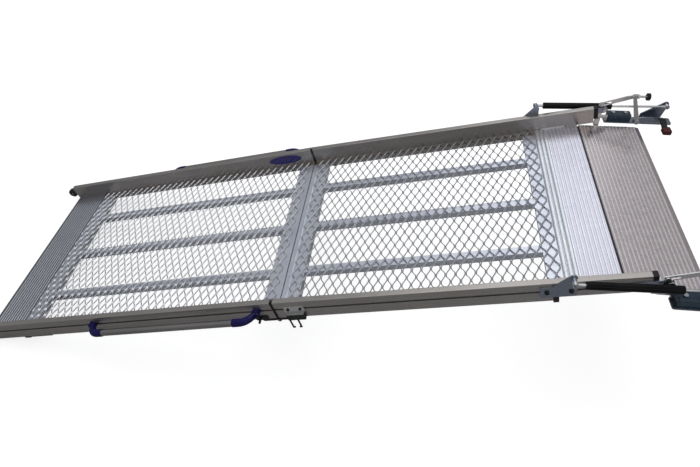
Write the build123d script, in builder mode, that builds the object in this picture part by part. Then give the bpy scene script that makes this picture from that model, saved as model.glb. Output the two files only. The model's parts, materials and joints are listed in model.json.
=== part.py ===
from build123d import *
import os
from math import atan2, cos, degrees, radians, sin

# Folding wheelchair ramp that bolts to a vehicle floor. Millimetres, +Z up, +X into the vehicle.
# The origin is the centre of the four floor bolts, on the floor. Left is +Y. Most pieces are drawn
# on the left and mirrored to the right. The ramp lies deployed: it falls away towards -X.

os.makedirs("parts", exist_ok=True)

# ---------------------------------------------------------------- driving dimensions
HALF_WIDTH = 400.0          # inner face of a rail, so the clear width is 800
UPPER_LENGTH = 1066.0       # base seam to fold seam
LOWER_LENGTH = 1240.0       # fold seam to the end of the lower rails
SLOPE = 12.8                # degrees, upper section
CAMBER = 1.0                # degrees, extra fall of the lower section
SEAM_GAP = 2.5              # each plate stops this far from the base seam axis
FOLD_GAP = 1.5              # each section stops this far from the fold seam

RAIL_WIDTH = 21.0
RAIL_TOP = 60.0             # above the deck
RAIL_BOTTOM = -19.0
RAIL_WALL = 2.5
LEDGE_WIDTH = 26.0          # lip inside each rail that carries the deck
SLOT_HEIGHT = 26.0          # centre of the T-slot along the outer face
SLOT_MOUTH = 8.0
RAIL_TAIL = 57.0            # upper rails run this far past the base seam

DECK_SHEET = 4.0            # mesh and plate skin thickness
BAR_BOTTOM = -28.0          # underside of crossbars and stringers
TUBE_WALL = 2.0
MESH_PITCH_X = 31.5
MESH_PITCH_Y = 61.0
MESH_STRAND = 3.6

RIB_PITCH = 13.0
RIB_HEIGHT = 1.2
RIB_BASE = 6.5
RIB_CREST = 4.0

BRIDGE_THICKNESS = 6.0
BRIDGE_DEPTH = 223.0
BRIDGE_HALF = 398.0
GROUND_THICKNESS = 6.0
SEAM_AXIS_DEPTH = 4.0       # base seam hinge axis, below both deck surfaces
FOLD_AXIS_DEPTH = 32.0      # fold hinge axis, below the deck and below the rails

SEAM_X = -277.5             # base seam axis
MAIN_PIVOT = (-189.5, 60.5)             # X and Z of the pivot the whole ramp lifts about
SPRING_TILT = 1.7                       # degrees, line of the gas spring at rest
SPRING_RAMP_ARM = 250.0                 # main pivot to the spring eye on the ramp
SPRING_BASE_ARM = 230.0                 # main pivot to the spring eye on the floor bracket
SPRING_Y = 448.0
LEVER_PIVOT = (-58.0, 14.0)
LEVER_TOP = (-97.0, 119.0)
BAR_PIN = (-203.0, 80.0)    # pin at the post top, in the slot of the draw bar
FLOOR_BOLT_X = 57.5
FLOOR_BOLT_Y = 448.0
RUNNING_FIT = 0.05          # radial clearance of a pivot

# layers across the pivot, from the rail outwards
OUTER = HALF_WIDTH + RAIL_WIDTH
PLATE_LAYER = (OUTER, OUTER + 4.0)
BAR_LAYER = (OUTER + 4.5, OUTER + 8.5)
POST_LAYER = (OUTER + 9.0, OUTER + 13.5)


def sloped(x, z, slope):
    """A frame at (x, 0, z): its x climbs at the angle given, its y is left, its z is the normal."""
    a = radians(slope)
    return Plane(origin=(x, 0, z), x_dir=(cos(a), 0, sin(a)), z_dir=(-sin(a), 0, cos(a)))


def across(frame, x):
    """Cross-section plane at x: sketch x is the frame's y, sketch y is the frame's z."""
    return Plane(origin=frame.from_local_coords((x, 0, 0)), x_dir=frame.y_dir, z_dir=frame.x_dir)


def beside(frame, y):
    """Side plane at y: sketch x is the frame's x, sketch y its z. The normal points right."""
    return Plane(origin=frame.from_local_coords((0, y, 0)), x_dir=frame.x_dir, z_dir=-frame.y_dir)


def in_frame(frame, point):
    """An (X, Z) point of the whole ramp, as (x, z) of a frame."""
    local = frame.to_local_coords(Vector(point[0], 0, point[1]))
    return (local.X, local.Z)


SEAM_AXIS = sloped(SEAM_X, BRIDGE_THICKNESS - SEAM_AXIS_DEPTH, SLOPE)
UPPER = SEAM_AXIS.offset(SEAM_AXIS_DEPTH)
FOLD_AXIS = UPPER.from_local_coords((-UPPER_LENGTH, 0, -FOLD_AXIS_DEPTH))
LOWER = sloped(FOLD_AXIS.X, FOLD_AXIS.Z, SLOPE + CAMBER).offset(FOLD_AXIS_DEPTH)
BRIDGE = sloped(SEAM_X, BRIDGE_THICKNESS, 0)
BASE = sloped(0, 0, 0)

tilt = radians(SPRING_TILT)
SPRING_RAMP_EYE = (MAIN_PIVOT[0] - SPRING_RAMP_ARM * cos(tilt), MAIN_PIVOT[1] - SPRING_RAMP_ARM * sin(tilt))
SPRING_BASE_EYE = (MAIN_PIVOT[0] + SPRING_BASE_ARM * cos(tilt), MAIN_PIVOT[1] + SPRING_BASE_ARM * sin(tilt))
PIVOT_ON_RAMP = in_frame(UPPER, MAIN_PIVOT)
EYE_ON_RAMP = in_frame(UPPER, SPRING_RAMP_EYE)


def write(part, name):
    """Label one finished piece and write its STEP file."""
    part.label = name
    export_step(part, f"parts/{name}.step")


def write_pair(part, name):
    """Write a left piece and its mirror image on the right."""
    write(part, f"{name}_left")
    with BuildPart() as other:
        add(mirror(part, about=Plane.XZ, mode=Mode.PRIVATE))
    write(other.part, f"{name}_right")


# ---------------------------------------------------------------- side rails
def rail_section(plane, ledge):
    """Hollow rail with a T-slot outside, and an inner ledge where it carries the deck."""
    middle_y = HALF_WIDTH + RAIL_WIDTH / 2
    middle_z = (RAIL_TOP + RAIL_BOTTOM) / 2
    slot_lip = 3.5
    slot_back = 8.5
    slot_room = 16.0
    lower_room_top = SLOT_HEIGHT - slot_room / 2 - RAIL_WALL
    upper_room_bottom = SLOT_HEIGHT + slot_room / 2 + RAIL_WALL
    with BuildSketch(plane) as section:
        with Locations((middle_y, middle_z)):
            RectangleRounded(RAIL_WIDTH, RAIL_TOP - RAIL_BOTTOM, 2.5)
        if ledge:
            with Locations((HALF_WIDTH + RAIL_WALL, RAIL_BOTTOM)):
                Rectangle(
                    LEDGE_WIDTH + RAIL_WALL,
                    -DECK_SHEET - RAIL_BOTTOM,
                    align=(Align.MAX, Align.MIN),
                )
            with Locations((HALF_WIDTH, RAIL_BOTTOM + RAIL_WALL)):
                Rectangle(
                    LEDGE_WIDTH - RAIL_WALL,
                    -DECK_SHEET - RAIL_BOTTOM - 2 * RAIL_WALL,
                    align=(Align.MAX, Align.MIN),
                    mode=Mode.SUBTRACT,
                )
        room_width = RAIL_WIDTH - 2 * RAIL_WALL
        with Locations((middle_y, RAIL_BOTTOM + RAIL_WALL)):
            Rectangle(
                room_width,
                lower_room_top - RAIL_BOTTOM - RAIL_WALL,
                align=(Align.CENTER, Align.MIN),
                mode=Mode.SUBTRACT,
            )
        with Locations((middle_y, upper_room_bottom)):
            Rectangle(
                room_width,
                RAIL_TOP - RAIL_WALL - upper_room_bottom,
                align=(Align.CENTER, Align.MIN),
                mode=Mode.SUBTRACT,
            )
        with Locations((OUTER, SLOT_HEIGHT)):
            Rectangle(slot_back, SLOT_MOUTH, align=(Align.MAX, Align.CENTER), mode=Mode.SUBTRACT)
        with Locations((OUTER - slot_lip, SLOT_HEIGHT)):
            Rectangle(
                slot_back - slot_lip,
                slot_room,
                align=(Align.MAX, Align.CENTER),
                mode=Mode.SUBTRACT,
            )
        groove_depth = 0.8
        for groove_z in (-8, 4, 40, 50):
            with Locations((OUTER, groove_z)):
                Rectangle(2 * groove_depth, 1.6, mode=Mode.SUBTRACT)
    return section.sketch


LEDGE_STOP = 10.0            # the ledge ends this far before the base seam, clear of its knuckles
NOTCH_START = -186.0         # from here up the rail is cut away below, where it lies on the sill
NOTCH_BOTTOM = -2.0
with BuildPart() as upper_rail:
    extrude(rail_section(across(UPPER, FOLD_GAP - UPPER_LENGTH), True),
            amount=UPPER_LENGTH - FOLD_GAP - LEDGE_STOP)
    extrude(rail_section(across(UPPER, -LEDGE_STOP), False), amount=RAIL_TAIL + LEDGE_STOP)
    with BuildSketch(across(UPPER, NOTCH_START)):
        with Locations((HALF_WIDTH + RAIL_WALL, NOTCH_BOTTOM)):
            Rectangle(RAIL_WIDTH, NOTCH_BOTTOM - RAIL_BOTTOM + 1, align=(Align.MIN, Align.MAX))
    extrude(amount=RAIL_TAIL - NOTCH_START, mode=Mode.SUBTRACT)
    with BuildSketch(across(UPPER, -LEDGE_STOP)):
        with Locations((HALF_WIDTH - 1, NOTCH_BOTTOM)):
            Rectangle(RAIL_WALL + 2, NOTCH_BOTTOM - RAIL_BOTTOM + 1, align=(Align.MIN, Align.MAX))
    extrude(amount=RAIL_TAIL + LEDGE_STOP, mode=Mode.SUBTRACT)
write_pair(upper_rail.part, "upper_rail")

GROUND_INNER = -LOWER_LENGTH + 156.0        # where the ground plate meets the lower mesh
with BuildPart() as lower_rail:
    extrude(rail_section(across(LOWER, -LOWER_LENGTH), False), amount=GROUND_INNER + LOWER_LENGTH)
    extrude(rail_section(across(LOWER, GROUND_INNER), True), amount=-FOLD_GAP - GROUND_INNER)
write_pair(lower_rail.part, "lower_rail")

CAP_LENGTH = 16.0
CAP_BOTTOM = 15.0
with BuildPart() as rail_end_caps:
    with BuildSketch(across(UPPER, RAIL_TAIL)):
        with Locations((HALF_WIDTH + RAIL_WIDTH / 2, CAP_BOTTOM)):
            Rectangle(RAIL_WIDTH, RAIL_TOP - CAP_BOTTOM, align=(Align.CENTER, Align.MIN))
    extrude(amount=CAP_LENGTH)
    cap_end = rail_end_caps.faces().sort_by(Axis(UPPER.origin, UPPER.x_dir))[-1]
    fillet(cap_end.edges(), 3)
    mirror(about=Plane.XZ)
write(rail_end_caps.part, "rail_end_caps")


# ---------------------------------------------------------------- crossbars and stringers
def crossbar_section(outline):
    """Hollow bar seen from the side; the outline is in the frame's (x, z)."""
    with BuildSketch(Plane.XY, mode=Mode.PRIVATE) as bar:
        with BuildLine():
            Polyline(*outline, close=True)
        make_face()
        offset(bar.sketch, amount=-TUBE_WALL, kind=Kind.INTERSECTION, mode=Mode.SUBTRACT)
    return bar.sketch


BAR_HALF = HALF_WIDTH - LEDGE_WIDTH
MID_LIP = 18.0               # plain strip left beside the fold seam
MID_BAR = 64.0
END_BAR = 46.0
LANDING_INNER = -160.0       # where the landing plate meets the upper mesh

mid_outline_upper = [
    (FOLD_GAP - UPPER_LENGTH, BAR_BOTTOM),
    (MID_BAR - UPPER_LENGTH, BAR_BOTTOM),
    (MID_BAR - UPPER_LENGTH, -DECK_SHEET),
    (MID_LIP - UPPER_LENGTH, -DECK_SHEET),
    (MID_LIP - UPPER_LENGTH, 0),
    (FOLD_GAP - UPPER_LENGTH, 0),
]
with BuildPart() as upper_mid_crossbar:
    with BuildSketch(beside(UPPER, 0)):
        add(crossbar_section(mid_outline_upper))
    extrude(amount=BAR_HALF, both=True)
write(upper_mid_crossbar.part, "upper_mid_crossbar")

mid_outline_lower = [(-x - UPPER_LENGTH, z) for x, z in mid_outline_upper]
with BuildPart() as lower_mid_crossbar:
    with BuildSketch(beside(LOWER, 0)):
        add(crossbar_section(mid_outline_lower))
    extrude(amount=BAR_HALF, both=True)
write(lower_mid_crossbar.part, "lower_mid_crossbar")

end_outline_upper = [
    (LANDING_INNER - END_BAR, BAR_BOTTOM),
    (LANDING_INNER, BAR_BOTTOM),
    (LANDING_INNER, -DECK_SHEET),
    (LANDING_INNER - END_BAR, -DECK_SHEET),
]
with BuildPart() as upper_end_crossbar:
    with BuildSketch(beside(UPPER, 0)):
        add(crossbar_section(end_outline_upper))
    extrude(amount=BAR_HALF, both=True)
write(upper_end_crossbar.part, "upper_end_crossbar")

GROUND_SEAT = 10.0           # the ground plate rests this far over the lower end crossbar
end_outline_lower = [
    (GROUND_INNER - GROUND_SEAT, BAR_BOTTOM),
    (GROUND_INNER + 60, BAR_BOTTOM),
    (GROUND_INNER + 60, -DECK_SHEET),
    (GROUND_INNER, -DECK_SHEET),
    (GROUND_INNER, -GROUND_THICKNESS),
    (GROUND_INNER - GROUND_SEAT, -GROUND_THICKNESS),
]
with BuildPart() as lower_end_crossbar:
    with BuildSketch(beside(LOWER, 0)):
        add(crossbar_section(end_outline_lower))
    extrude(amount=BAR_HALF, both=True)
write(lower_end_crossbar.part, "lower_end_crossbar")

STRINGER_WIDTH = 30.0
STRINGER_SPACING = 225.0


def stringer_section(plane):
    """Three hollow tubes side by side under the mesh."""
    height = -DECK_SHEET - BAR_BOTTOM
    with BuildSketch(plane) as tubes:
        with Locations((0, (BAR_BOTTOM - DECK_SHEET) / 2)):
            with GridLocations(STRINGER_SPACING, 1, 3, 1):
                Rectangle(STRINGER_WIDTH, height)
                Rectangle(
                    STRINGER_WIDTH - 2 * TUBE_WALL,
                    height - 2 * TUBE_WALL,
                    mode=Mode.SUBTRACT,
                )
    return tubes.sketch


with BuildPart() as upper_stringers:
    upper_start = MID_BAR - UPPER_LENGTH
    extrude(stringer_section(across(UPPER, upper_start)),
            amount=LANDING_INNER - END_BAR - upper_start)
write(upper_stringers.part, "upper_stringers")

with BuildPart() as lower_stringers:
    lower_start = GROUND_INNER + 60
    extrude(stringer_section(across(LOWER, lower_start)), amount=-MID_BAR - lower_start)
write(lower_stringers.part, "lower_stringers")


# ---------------------------------------------------------------- expanded mesh panels
def mesh_sheet(frame, start, end):
    """Sheet with staggered diamond openings, as its upper face on the deck."""
    length = end - start
    middle = (start + end) / 2
    columns = int((length - 12) / MESH_PITCH_X)
    rows = int((2 * HALF_WIDTH - 12) / MESH_PITCH_Y)
    half_x = MESH_PITCH_X / 2 - MESH_STRAND / 2 * 1.12
    half_y = MESH_PITCH_Y / 2 - MESH_STRAND / 2 * 2.2
    diamond = [(-half_x, 0), (0, half_y), (half_x, 0), (0, -half_y)]
    with BuildSketch(frame.offset(-DECK_SHEET)) as sheet:
        with Locations((middle, 0)):
            Rectangle(length, 2 * HALF_WIDTH)
        with Locations((middle, 0)):
            with GridLocations(MESH_PITCH_X, MESH_PITCH_Y, columns, rows):
                Polygon(*diamond, mode=Mode.SUBTRACT)
            with GridLocations(MESH_PITCH_X, MESH_PITCH_Y, columns - 1, rows - 1):
                Polygon(*diamond, mode=Mode.SUBTRACT)
    return sheet.sketch


with BuildPart() as upper_mesh:
    extrude(mesh_sheet(UPPER, MID_LIP - UPPER_LENGTH, LANDING_INNER), amount=DECK_SHEET)
write(upper_mesh.part, "upper_mesh")

with BuildPart() as lower_mesh:
    extrude(mesh_sheet(LOWER, GROUND_INNER, -MID_LIP), amount=DECK_SHEET)
write(lower_mesh.part, "lower_mesh")


# ---------------------------------------------------------------- ribbed plates and the base seam
def plate_skin(start, end, thickness):
    """Ribbed plate in side view: flat underside, anti-slip ribs up to the deck surface."""
    first = start + RIB_PITCH / 2
    count = int((end - RIB_BASE / 2 - first) / RIB_PITCH) + 1
    with BuildSketch(Plane.XY, mode=Mode.PRIVATE) as skin:
        with Locations((start, -thickness)):
            Rectangle(end - start, thickness - RIB_HEIGHT, align=(Align.MIN, Align.MIN))
        for i in range(count):
            x = first + i * RIB_PITCH
            Polygon(
                (x - RIB_BASE / 2, -RIB_HEIGHT),
                (x + RIB_BASE / 2, -RIB_HEIGHT),
                (x + RIB_CREST / 2, 0),
                (x - RIB_CREST / 2, 0),
                align=None,
            )
    return skin.sketch


KNUCKLE_RADIUS = 3.5
KNUCKLE_LENGTH = 65.0
KNUCKLE_COUNT = 12
SEAM_PIN_RADIUS = 2.5
SEAM_PIN_HALF = KNUCKLE_LENGTH * KNUCKLE_COUNT / 2
knuckle_ys = [(i + 0.5) * KNUCKLE_LENGTH - SEAM_PIN_HALF for i in range(KNUCKLE_COUNT)]
landing_knuckles = knuckle_ys[0::2]
bridge_knuckles = knuckle_ys[1::2]
axis_point = (0, -SEAM_AXIS_DEPTH)

with BuildPart() as landing_plate:
    with BuildSketch(beside(UPPER, 0)):
        add(plate_skin(LANDING_INNER, -SEAM_GAP, DECK_SHEET))
        for ridge in range(3):
            with Locations((LANDING_INNER + 4 + 9 * ridge, -DECK_SHEET)):
                Rectangle(4, DECK_SHEET + 1.2, align=(Align.CENTER, Align.MIN))
    extrude(amount=HALF_WIDTH, both=True)
    with BuildSketch(beside(UPPER, 0)):
        with Locations((LANDING_INNER, -DECK_SHEET)):
            Rectangle(150, 20, align=(Align.MIN, Align.MAX))
        with Locations((LANDING_INNER + 3, -DECK_SHEET)):
            Rectangle(144, 17, align=(Align.MIN, Align.MAX), mode=Mode.SUBTRACT)
        for web in range(1, 4):
            with Locations((LANDING_INNER + 37.5 * web, -DECK_SHEET)):
                Rectangle(2.5, 20, align=(Align.CENTER, Align.MAX))
    extrude(amount=BAR_HALF, both=True)
    for y in bridge_knuckles:
        with BuildSketch(beside(UPPER, y)):
            with Locations(axis_point):
                Circle(KNUCKLE_RADIUS + 0.4)
        extrude(amount=KNUCKLE_LENGTH / 2 + 0.3, both=True, mode=Mode.SUBTRACT)
    for y in landing_knuckles:
        with BuildSketch(beside(UPPER, y)):
            with Locations(axis_point):
                Circle(KNUCKLE_RADIUS)
        extrude(amount=KNUCKLE_LENGTH / 2 - 0.3, both=True)
    with BuildSketch(beside(UPPER, 0)):
        with Locations(axis_point):
            Circle(SEAM_PIN_RADIUS + RUNNING_FIT)
    extrude(amount=HALF_WIDTH, both=True, mode=Mode.SUBTRACT)
write(landing_plate.part, "landing_plate")

BRIDGE_BEVEL = 14.0
with BuildPart() as bridge_plate:
    with BuildSketch(beside(BRIDGE, 0)):
        add(plate_skin(SEAM_GAP, BRIDGE_DEPTH - BRIDGE_BEVEL, BRIDGE_THICKNESS))
        with BuildLine():
            Polyline(
                (BRIDGE_DEPTH - BRIDGE_BEVEL, -BRIDGE_THICKNESS),
                (BRIDGE_DEPTH, -BRIDGE_THICKNESS),
                (BRIDGE_DEPTH, -BRIDGE_THICKNESS + 1.5),
                (BRIDGE_DEPTH - BRIDGE_BEVEL, -RIB_HEIGHT),
                close=True,
            )
        make_face()
    extrude(amount=BRIDGE_HALF, both=True)
    for y in landing_knuckles:
        with BuildSketch(beside(BRIDGE, y)):
            with Locations(axis_point):
                Circle(KNUCKLE_RADIUS + 0.4)
        extrude(amount=KNUCKLE_LENGTH / 2 + 0.3, both=True, mode=Mode.SUBTRACT)
    for y in bridge_knuckles:
        with BuildSketch(beside(BRIDGE, y)):
            with Locations(axis_point):
                Circle(KNUCKLE_RADIUS)
        extrude(amount=KNUCKLE_LENGTH / 2 - 0.3, both=True)
    with BuildSketch(beside(BRIDGE, 0)):
        with Locations(axis_point):
            Circle(SEAM_PIN_RADIUS + RUNNING_FIT)
    extrude(amount=HALF_WIDTH, both=True, mode=Mode.SUBTRACT)
write(bridge_plate.part, "bridge_plate")

with BuildPart() as seam_hinge_pin:
    with BuildSketch(beside(UPPER, 0)):
        with Locations(axis_point):
            Circle(SEAM_PIN_RADIUS)
    extrude(amount=SEAM_PIN_HALF, both=True)
write(seam_hinge_pin.part, "seam_hinge_pin")

GROUND_NOSE = 4.0            # the nose of the ground plate runs past the rails
with BuildPart() as ground_plate:
    nose = -LOWER_LENGTH - GROUND_NOSE
    bevel = 14.0
    with BuildSketch(beside(LOWER, 0)):
        add(plate_skin(nose + bevel, GROUND_INNER, GROUND_THICKNESS))
        with BuildLine():
            Polyline(
                (nose, -GROUND_THICKNESS),
                (nose + bevel, -GROUND_THICKNESS),
                (nose + bevel, -RIB_HEIGHT),
                (nose, -GROUND_THICKNESS + 2),
                close=True,
            )
        make_face()
    extrude(amount=HALF_WIDTH, both=True)
write(ground_plate.part, "ground_plate")

# ---------------------------------------------------------------- fold hinges under the rails
HINGE_BLOCK_TOP = RAIL_BOTTOM
HINGE_BLOCK_BOTTOM = -31.0
HINGE_BLOCK_NEAR = 7.5       # clearance from the pin line to the block
HINGE_BLOCK_FAR = 58.0
FOLD_KNUCKLE = 7.0
FOLD_PIN_RADIUS = 3.0
HINGE_INNER = HALF_WIDTH + 1.0
HINGE_OUTER = OUTER - 1.0
LOWER_KNUCKLE = (HINGE_INNER + 6.5, HINGE_OUTER - 6.5)
pin_point = (0, -FOLD_AXIS_DEPTH)


def hinge_block(direction):
    """Hinge block in side view about the fold axis; direction +1 for upper, -1 for lower."""
    with BuildSketch(Plane.XY, mode=Mode.PRIVATE) as block:
        with BuildLine():
            Polyline(
                (direction * HINGE_BLOCK_NEAR, HINGE_BLOCK_TOP),
                (direction * HINGE_BLOCK_FAR, HINGE_BLOCK_TOP),
                (direction * HINGE_BLOCK_FAR, HINGE_BLOCK_BOTTOM + 5),
                (direction * (HINGE_BLOCK_FAR - 5), HINGE_BLOCK_BOTTOM),
                (direction * HINGE_BLOCK_NEAR, HINGE_BLOCK_BOTTOM),
                close=True,
            )
        make_face()
    return block.sketch


def knuckle_shape(direction):
    """Knuckle round the pin, with the web that joins it to its block."""
    with BuildSketch(Plane.XY, mode=Mode.PRIVATE) as shape:
        with Locations(pin_point):
            Circle(FOLD_KNUCKLE)
        with BuildLine():
            Polyline(
                (0, -FOLD_AXIS_DEPTH + 1),
                (direction * HINGE_BLOCK_NEAR, HINGE_BLOCK_BOTTOM),
                (direction * HINGE_BLOCK_NEAR, HINGE_BLOCK_TOP - 4),
                (0, -FOLD_AXIS_DEPTH + FOLD_KNUCKLE),
                close=True,
            )
        make_face()
    return shape.sketch


FOLD_UPPER = Plane(
    origin=UPPER.from_local_coords((-UPPER_LENGTH, 0, 0)), x_dir=UPPER.x_dir, z_dir=UPPER.z_dir
)
with BuildPart() as fold_hinges_upper:
    with BuildSketch(beside(FOLD_UPPER, HINGE_INNER)):
        add(hinge_block(1))
    extrude(amount=HINGE_INNER - HINGE_OUTER)
    for y0, y1 in ((HINGE_INNER, LOWER_KNUCKLE[0] - 0.2), (LOWER_KNUCKLE[1] + 0.2, HINGE_OUTER)):
        with BuildSketch(beside(FOLD_UPPER, y0)):
            add(knuckle_shape(1))
        extrude(amount=y0 - y1)
    with BuildSketch(beside(FOLD_UPPER, HINGE_INNER)):
        with Locations(pin_point):
            Circle(FOLD_PIN_RADIUS + RUNNING_FIT)
    extrude(amount=HINGE_INNER - HINGE_OUTER, mode=Mode.SUBTRACT)
    mirror(about=Plane.XZ)
write(fold_hinges_upper.part, "fold_hinges_upper")

with BuildPart() as fold_hinges_lower:
    with BuildSketch(beside(LOWER, HINGE_INNER)):
        add(hinge_block(-1))
    extrude(amount=HINGE_INNER - HINGE_OUTER)
    with BuildSketch(beside(LOWER, LOWER_KNUCKLE[0])):
        add(knuckle_shape(-1))
    extrude(amount=LOWER_KNUCKLE[0] - LOWER_KNUCKLE[1])
    with BuildSketch(beside(LOWER, HINGE_INNER)):
        with Locations(pin_point):
            Circle(FOLD_PIN_RADIUS + RUNNING_FIT)
    extrude(amount=HINGE_INNER - HINGE_OUTER, mode=Mode.SUBTRACT)
    mirror(about=Plane.XZ)
write(fold_hinges_lower.part, "fold_hinges_lower")

with BuildPart() as fold_hinge_pins:
    with BuildSketch(beside(FOLD_UPPER, HINGE_INNER - 0.5)):
        with Locations(pin_point):
            Circle(FOLD_PIN_RADIUS)
    extrude(amount=HINGE_INNER - HINGE_OUTER - 1)
    mirror(about=Plane.XZ)
write(fold_hinge_pins.part, "fold_hinge_pins")

# ---------------------------------------------------------------- fold clips and their catches
CLIP_X = -UPPER_LENGTH + 57.0
CLIP_PLATE_X = CLIP_X + 14.0
CLIP_PLATE = 3.0
CLIP_LEG_HALF = 14.0
CLIP_LEG_RADIUS = 3.0
CLIP_LEG_END = -60.0
CLIP_TOE = 7.5               # each toe ends this far from the middle, so the catch can pass
CATCH_LEAD = 4.5             # the catch swings in on an arc, so it starts off the middle
CLIP_LEG_Y = OUTER + 9.0
SCREW_HALF = 21.0
with BuildPart() as fold_clips:
    with BuildSketch(beside(UPPER, OUTER)):
        with Locations((CLIP_PLATE_X, 23.5)):
            RectangleRounded(68, 33, 3)
        with Locations((CLIP_PLATE_X - SCREW_HALF, SLOT_HEIGHT), (CLIP_PLATE_X + SCREW_HALF, SLOT_HEIGHT)):
            Circle(3.2, mode=Mode.SUBTRACT)
    extrude(amount=-CLIP_PLATE)
    with BuildSketch(beside(UPPER, OUTER)):
        with Locations((CLIP_PLATE_X - 1, -6)):
            RectangleRounded(62, 27, 2)
    extrude(amount=-12)
    for side in (-1, 1):
        with BuildLine() as leg:
            Polyline(
                UPPER.from_local_coords((CLIP_X + side * CLIP_LEG_HALF, CLIP_LEG_Y, -12)),
                UPPER.from_local_coords((CLIP_X + side * CLIP_LEG_HALF, CLIP_LEG_Y, CLIP_LEG_END)),
                UPPER.from_local_coords((CLIP_X + side * CLIP_TOE, CLIP_LEG_Y, CLIP_LEG_END)),
            )
        with BuildSketch(Plane(origin=leg.line @ 0, z_dir=leg.line % 0)):
            Circle(CLIP_LEG_RADIUS)
        sweep(transition=Transition.RIGHT)
    mirror(about=Plane.XZ)
write(fold_clips.part, "fold_clips")

with BuildPart() as clip_screws:
    screw_points = [(CLIP_PLATE_X - SCREW_HALF, SLOT_HEIGHT), (CLIP_PLATE_X + SCREW_HALF, SLOT_HEIGHT)]
    with BuildSketch(beside(UPPER, OUTER + CLIP_PLATE)):
        with Locations(*screw_points):
            Circle(5)
    extrude(amount=-2.8)
    with BuildSketch(beside(UPPER, OUTER + CLIP_PLATE + 2.8)):
        with Locations(*screw_points):
            RegularPolygon(2.0, 6)
    extrude(amount=1.8, mode=Mode.SUBTRACT)
    with BuildSketch(beside(UPPER, OUTER + CLIP_PLATE)):
        with Locations(*screw_points):
            Circle(3)
    extrude(amount=10)
    mirror(about=Plane.XZ)
write(clip_screws.part, "clip_screws")

with BuildPart() as clip_catches:
    catch_x = -UPPER_LENGTH - CLIP_X - CATCH_LEAD
    with BuildSketch(beside(LOWER, OUTER)):
        with Locations((catch_x + 8, -9)):
            RectangleRounded(44, 18, 2)
    extrude(amount=-4)
    with BuildSketch(beside(LOWER, OUTER + 4)):
        with Locations((catch_x, -13)):
            RectangleRounded(6, 8, 1.5)
    extrude(amount=-16)
    mirror(about=Plane.XZ)
write(clip_catches.part, "clip_catches")

# Rubber corner where the notched rail meets the edge of the vehicle's sill.
BUFFER_LENGTH = 14.0
BUFFER_FACE = 2.0
BUFFER_DEPTH = 5.0
with BuildPart() as sill_buffers:
    with BuildSketch(beside(UPPER, HALF_WIDTH + RAIL_WALL + 0.5)):
        with BuildLine():
            Polyline(
                (NOTCH_START - BUFFER_LENGTH, RAIL_BOTTOM),
                (NOTCH_START - BUFFER_LENGTH, RAIL_BOTTOM - BUFFER_DEPTH),
                (NOTCH_START + BUFFER_FACE, RAIL_BOTTOM - BUFFER_DEPTH),
                (NOTCH_START + BUFFER_FACE, NOTCH_BOTTOM),
                (NOTCH_START, NOTCH_BOTTOM),
                (NOTCH_START, RAIL_BOTTOM),
                close=True,
            )
        make_face()
    extrude(amount=HALF_WIDTH + RAIL_WALL + 0.5 - OUTER)
    with BuildSketch(beside(UPPER, OUTER)):
        with Locations((NOTCH_START + BUFFER_FACE, RAIL_BOTTOM - BUFFER_DEPTH)):
            Rectangle(
                BUFFER_LENGTH + BUFFER_FACE,
                NOTCH_BOTTOM - RAIL_BOTTOM + BUFFER_DEPTH,
                align=(Align.MAX, Align.MIN),
            )
    extrude(amount=-BUFFER_FACE)
    mirror(about=Plane.XZ)
write(sill_buffers.part, "sill_buffers")

with BuildPart() as rail_skids:
    with BuildSketch(beside(LOWER, HALF_WIDTH + 2)):
        with BuildLine():
            Polyline(
                (-1063, RAIL_BOTTOM),
                (-928, RAIL_BOTTOM),
                (-930, RAIL_BOTTOM - 5),
                (-1030, RAIL_BOTTOM - 5),
                (-1036, RAIL_BOTTOM - 9),
                (-1058, RAIL_BOTTOM - 9),
                close=True,
            )
        make_face()
    extrude(amount=-RAIL_WIDTH + 4)
    mirror(about=Plane.XZ)
write(rail_skids.part, "rail_skids")

# ---------------------------------------------------------------- carrying handles on the lower rails
HANDLE_Y = OUTER + 41.0
HANDLE_TUBE = 12.0
HANDLE_INSERT = 22.0
HANDLE_BOSS = 14.0
HANDLE_ENDS = ((-61.0, -114.0), (-709.0, -672.0))    # x of the boss on the rail, x where the tube starts


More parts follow.
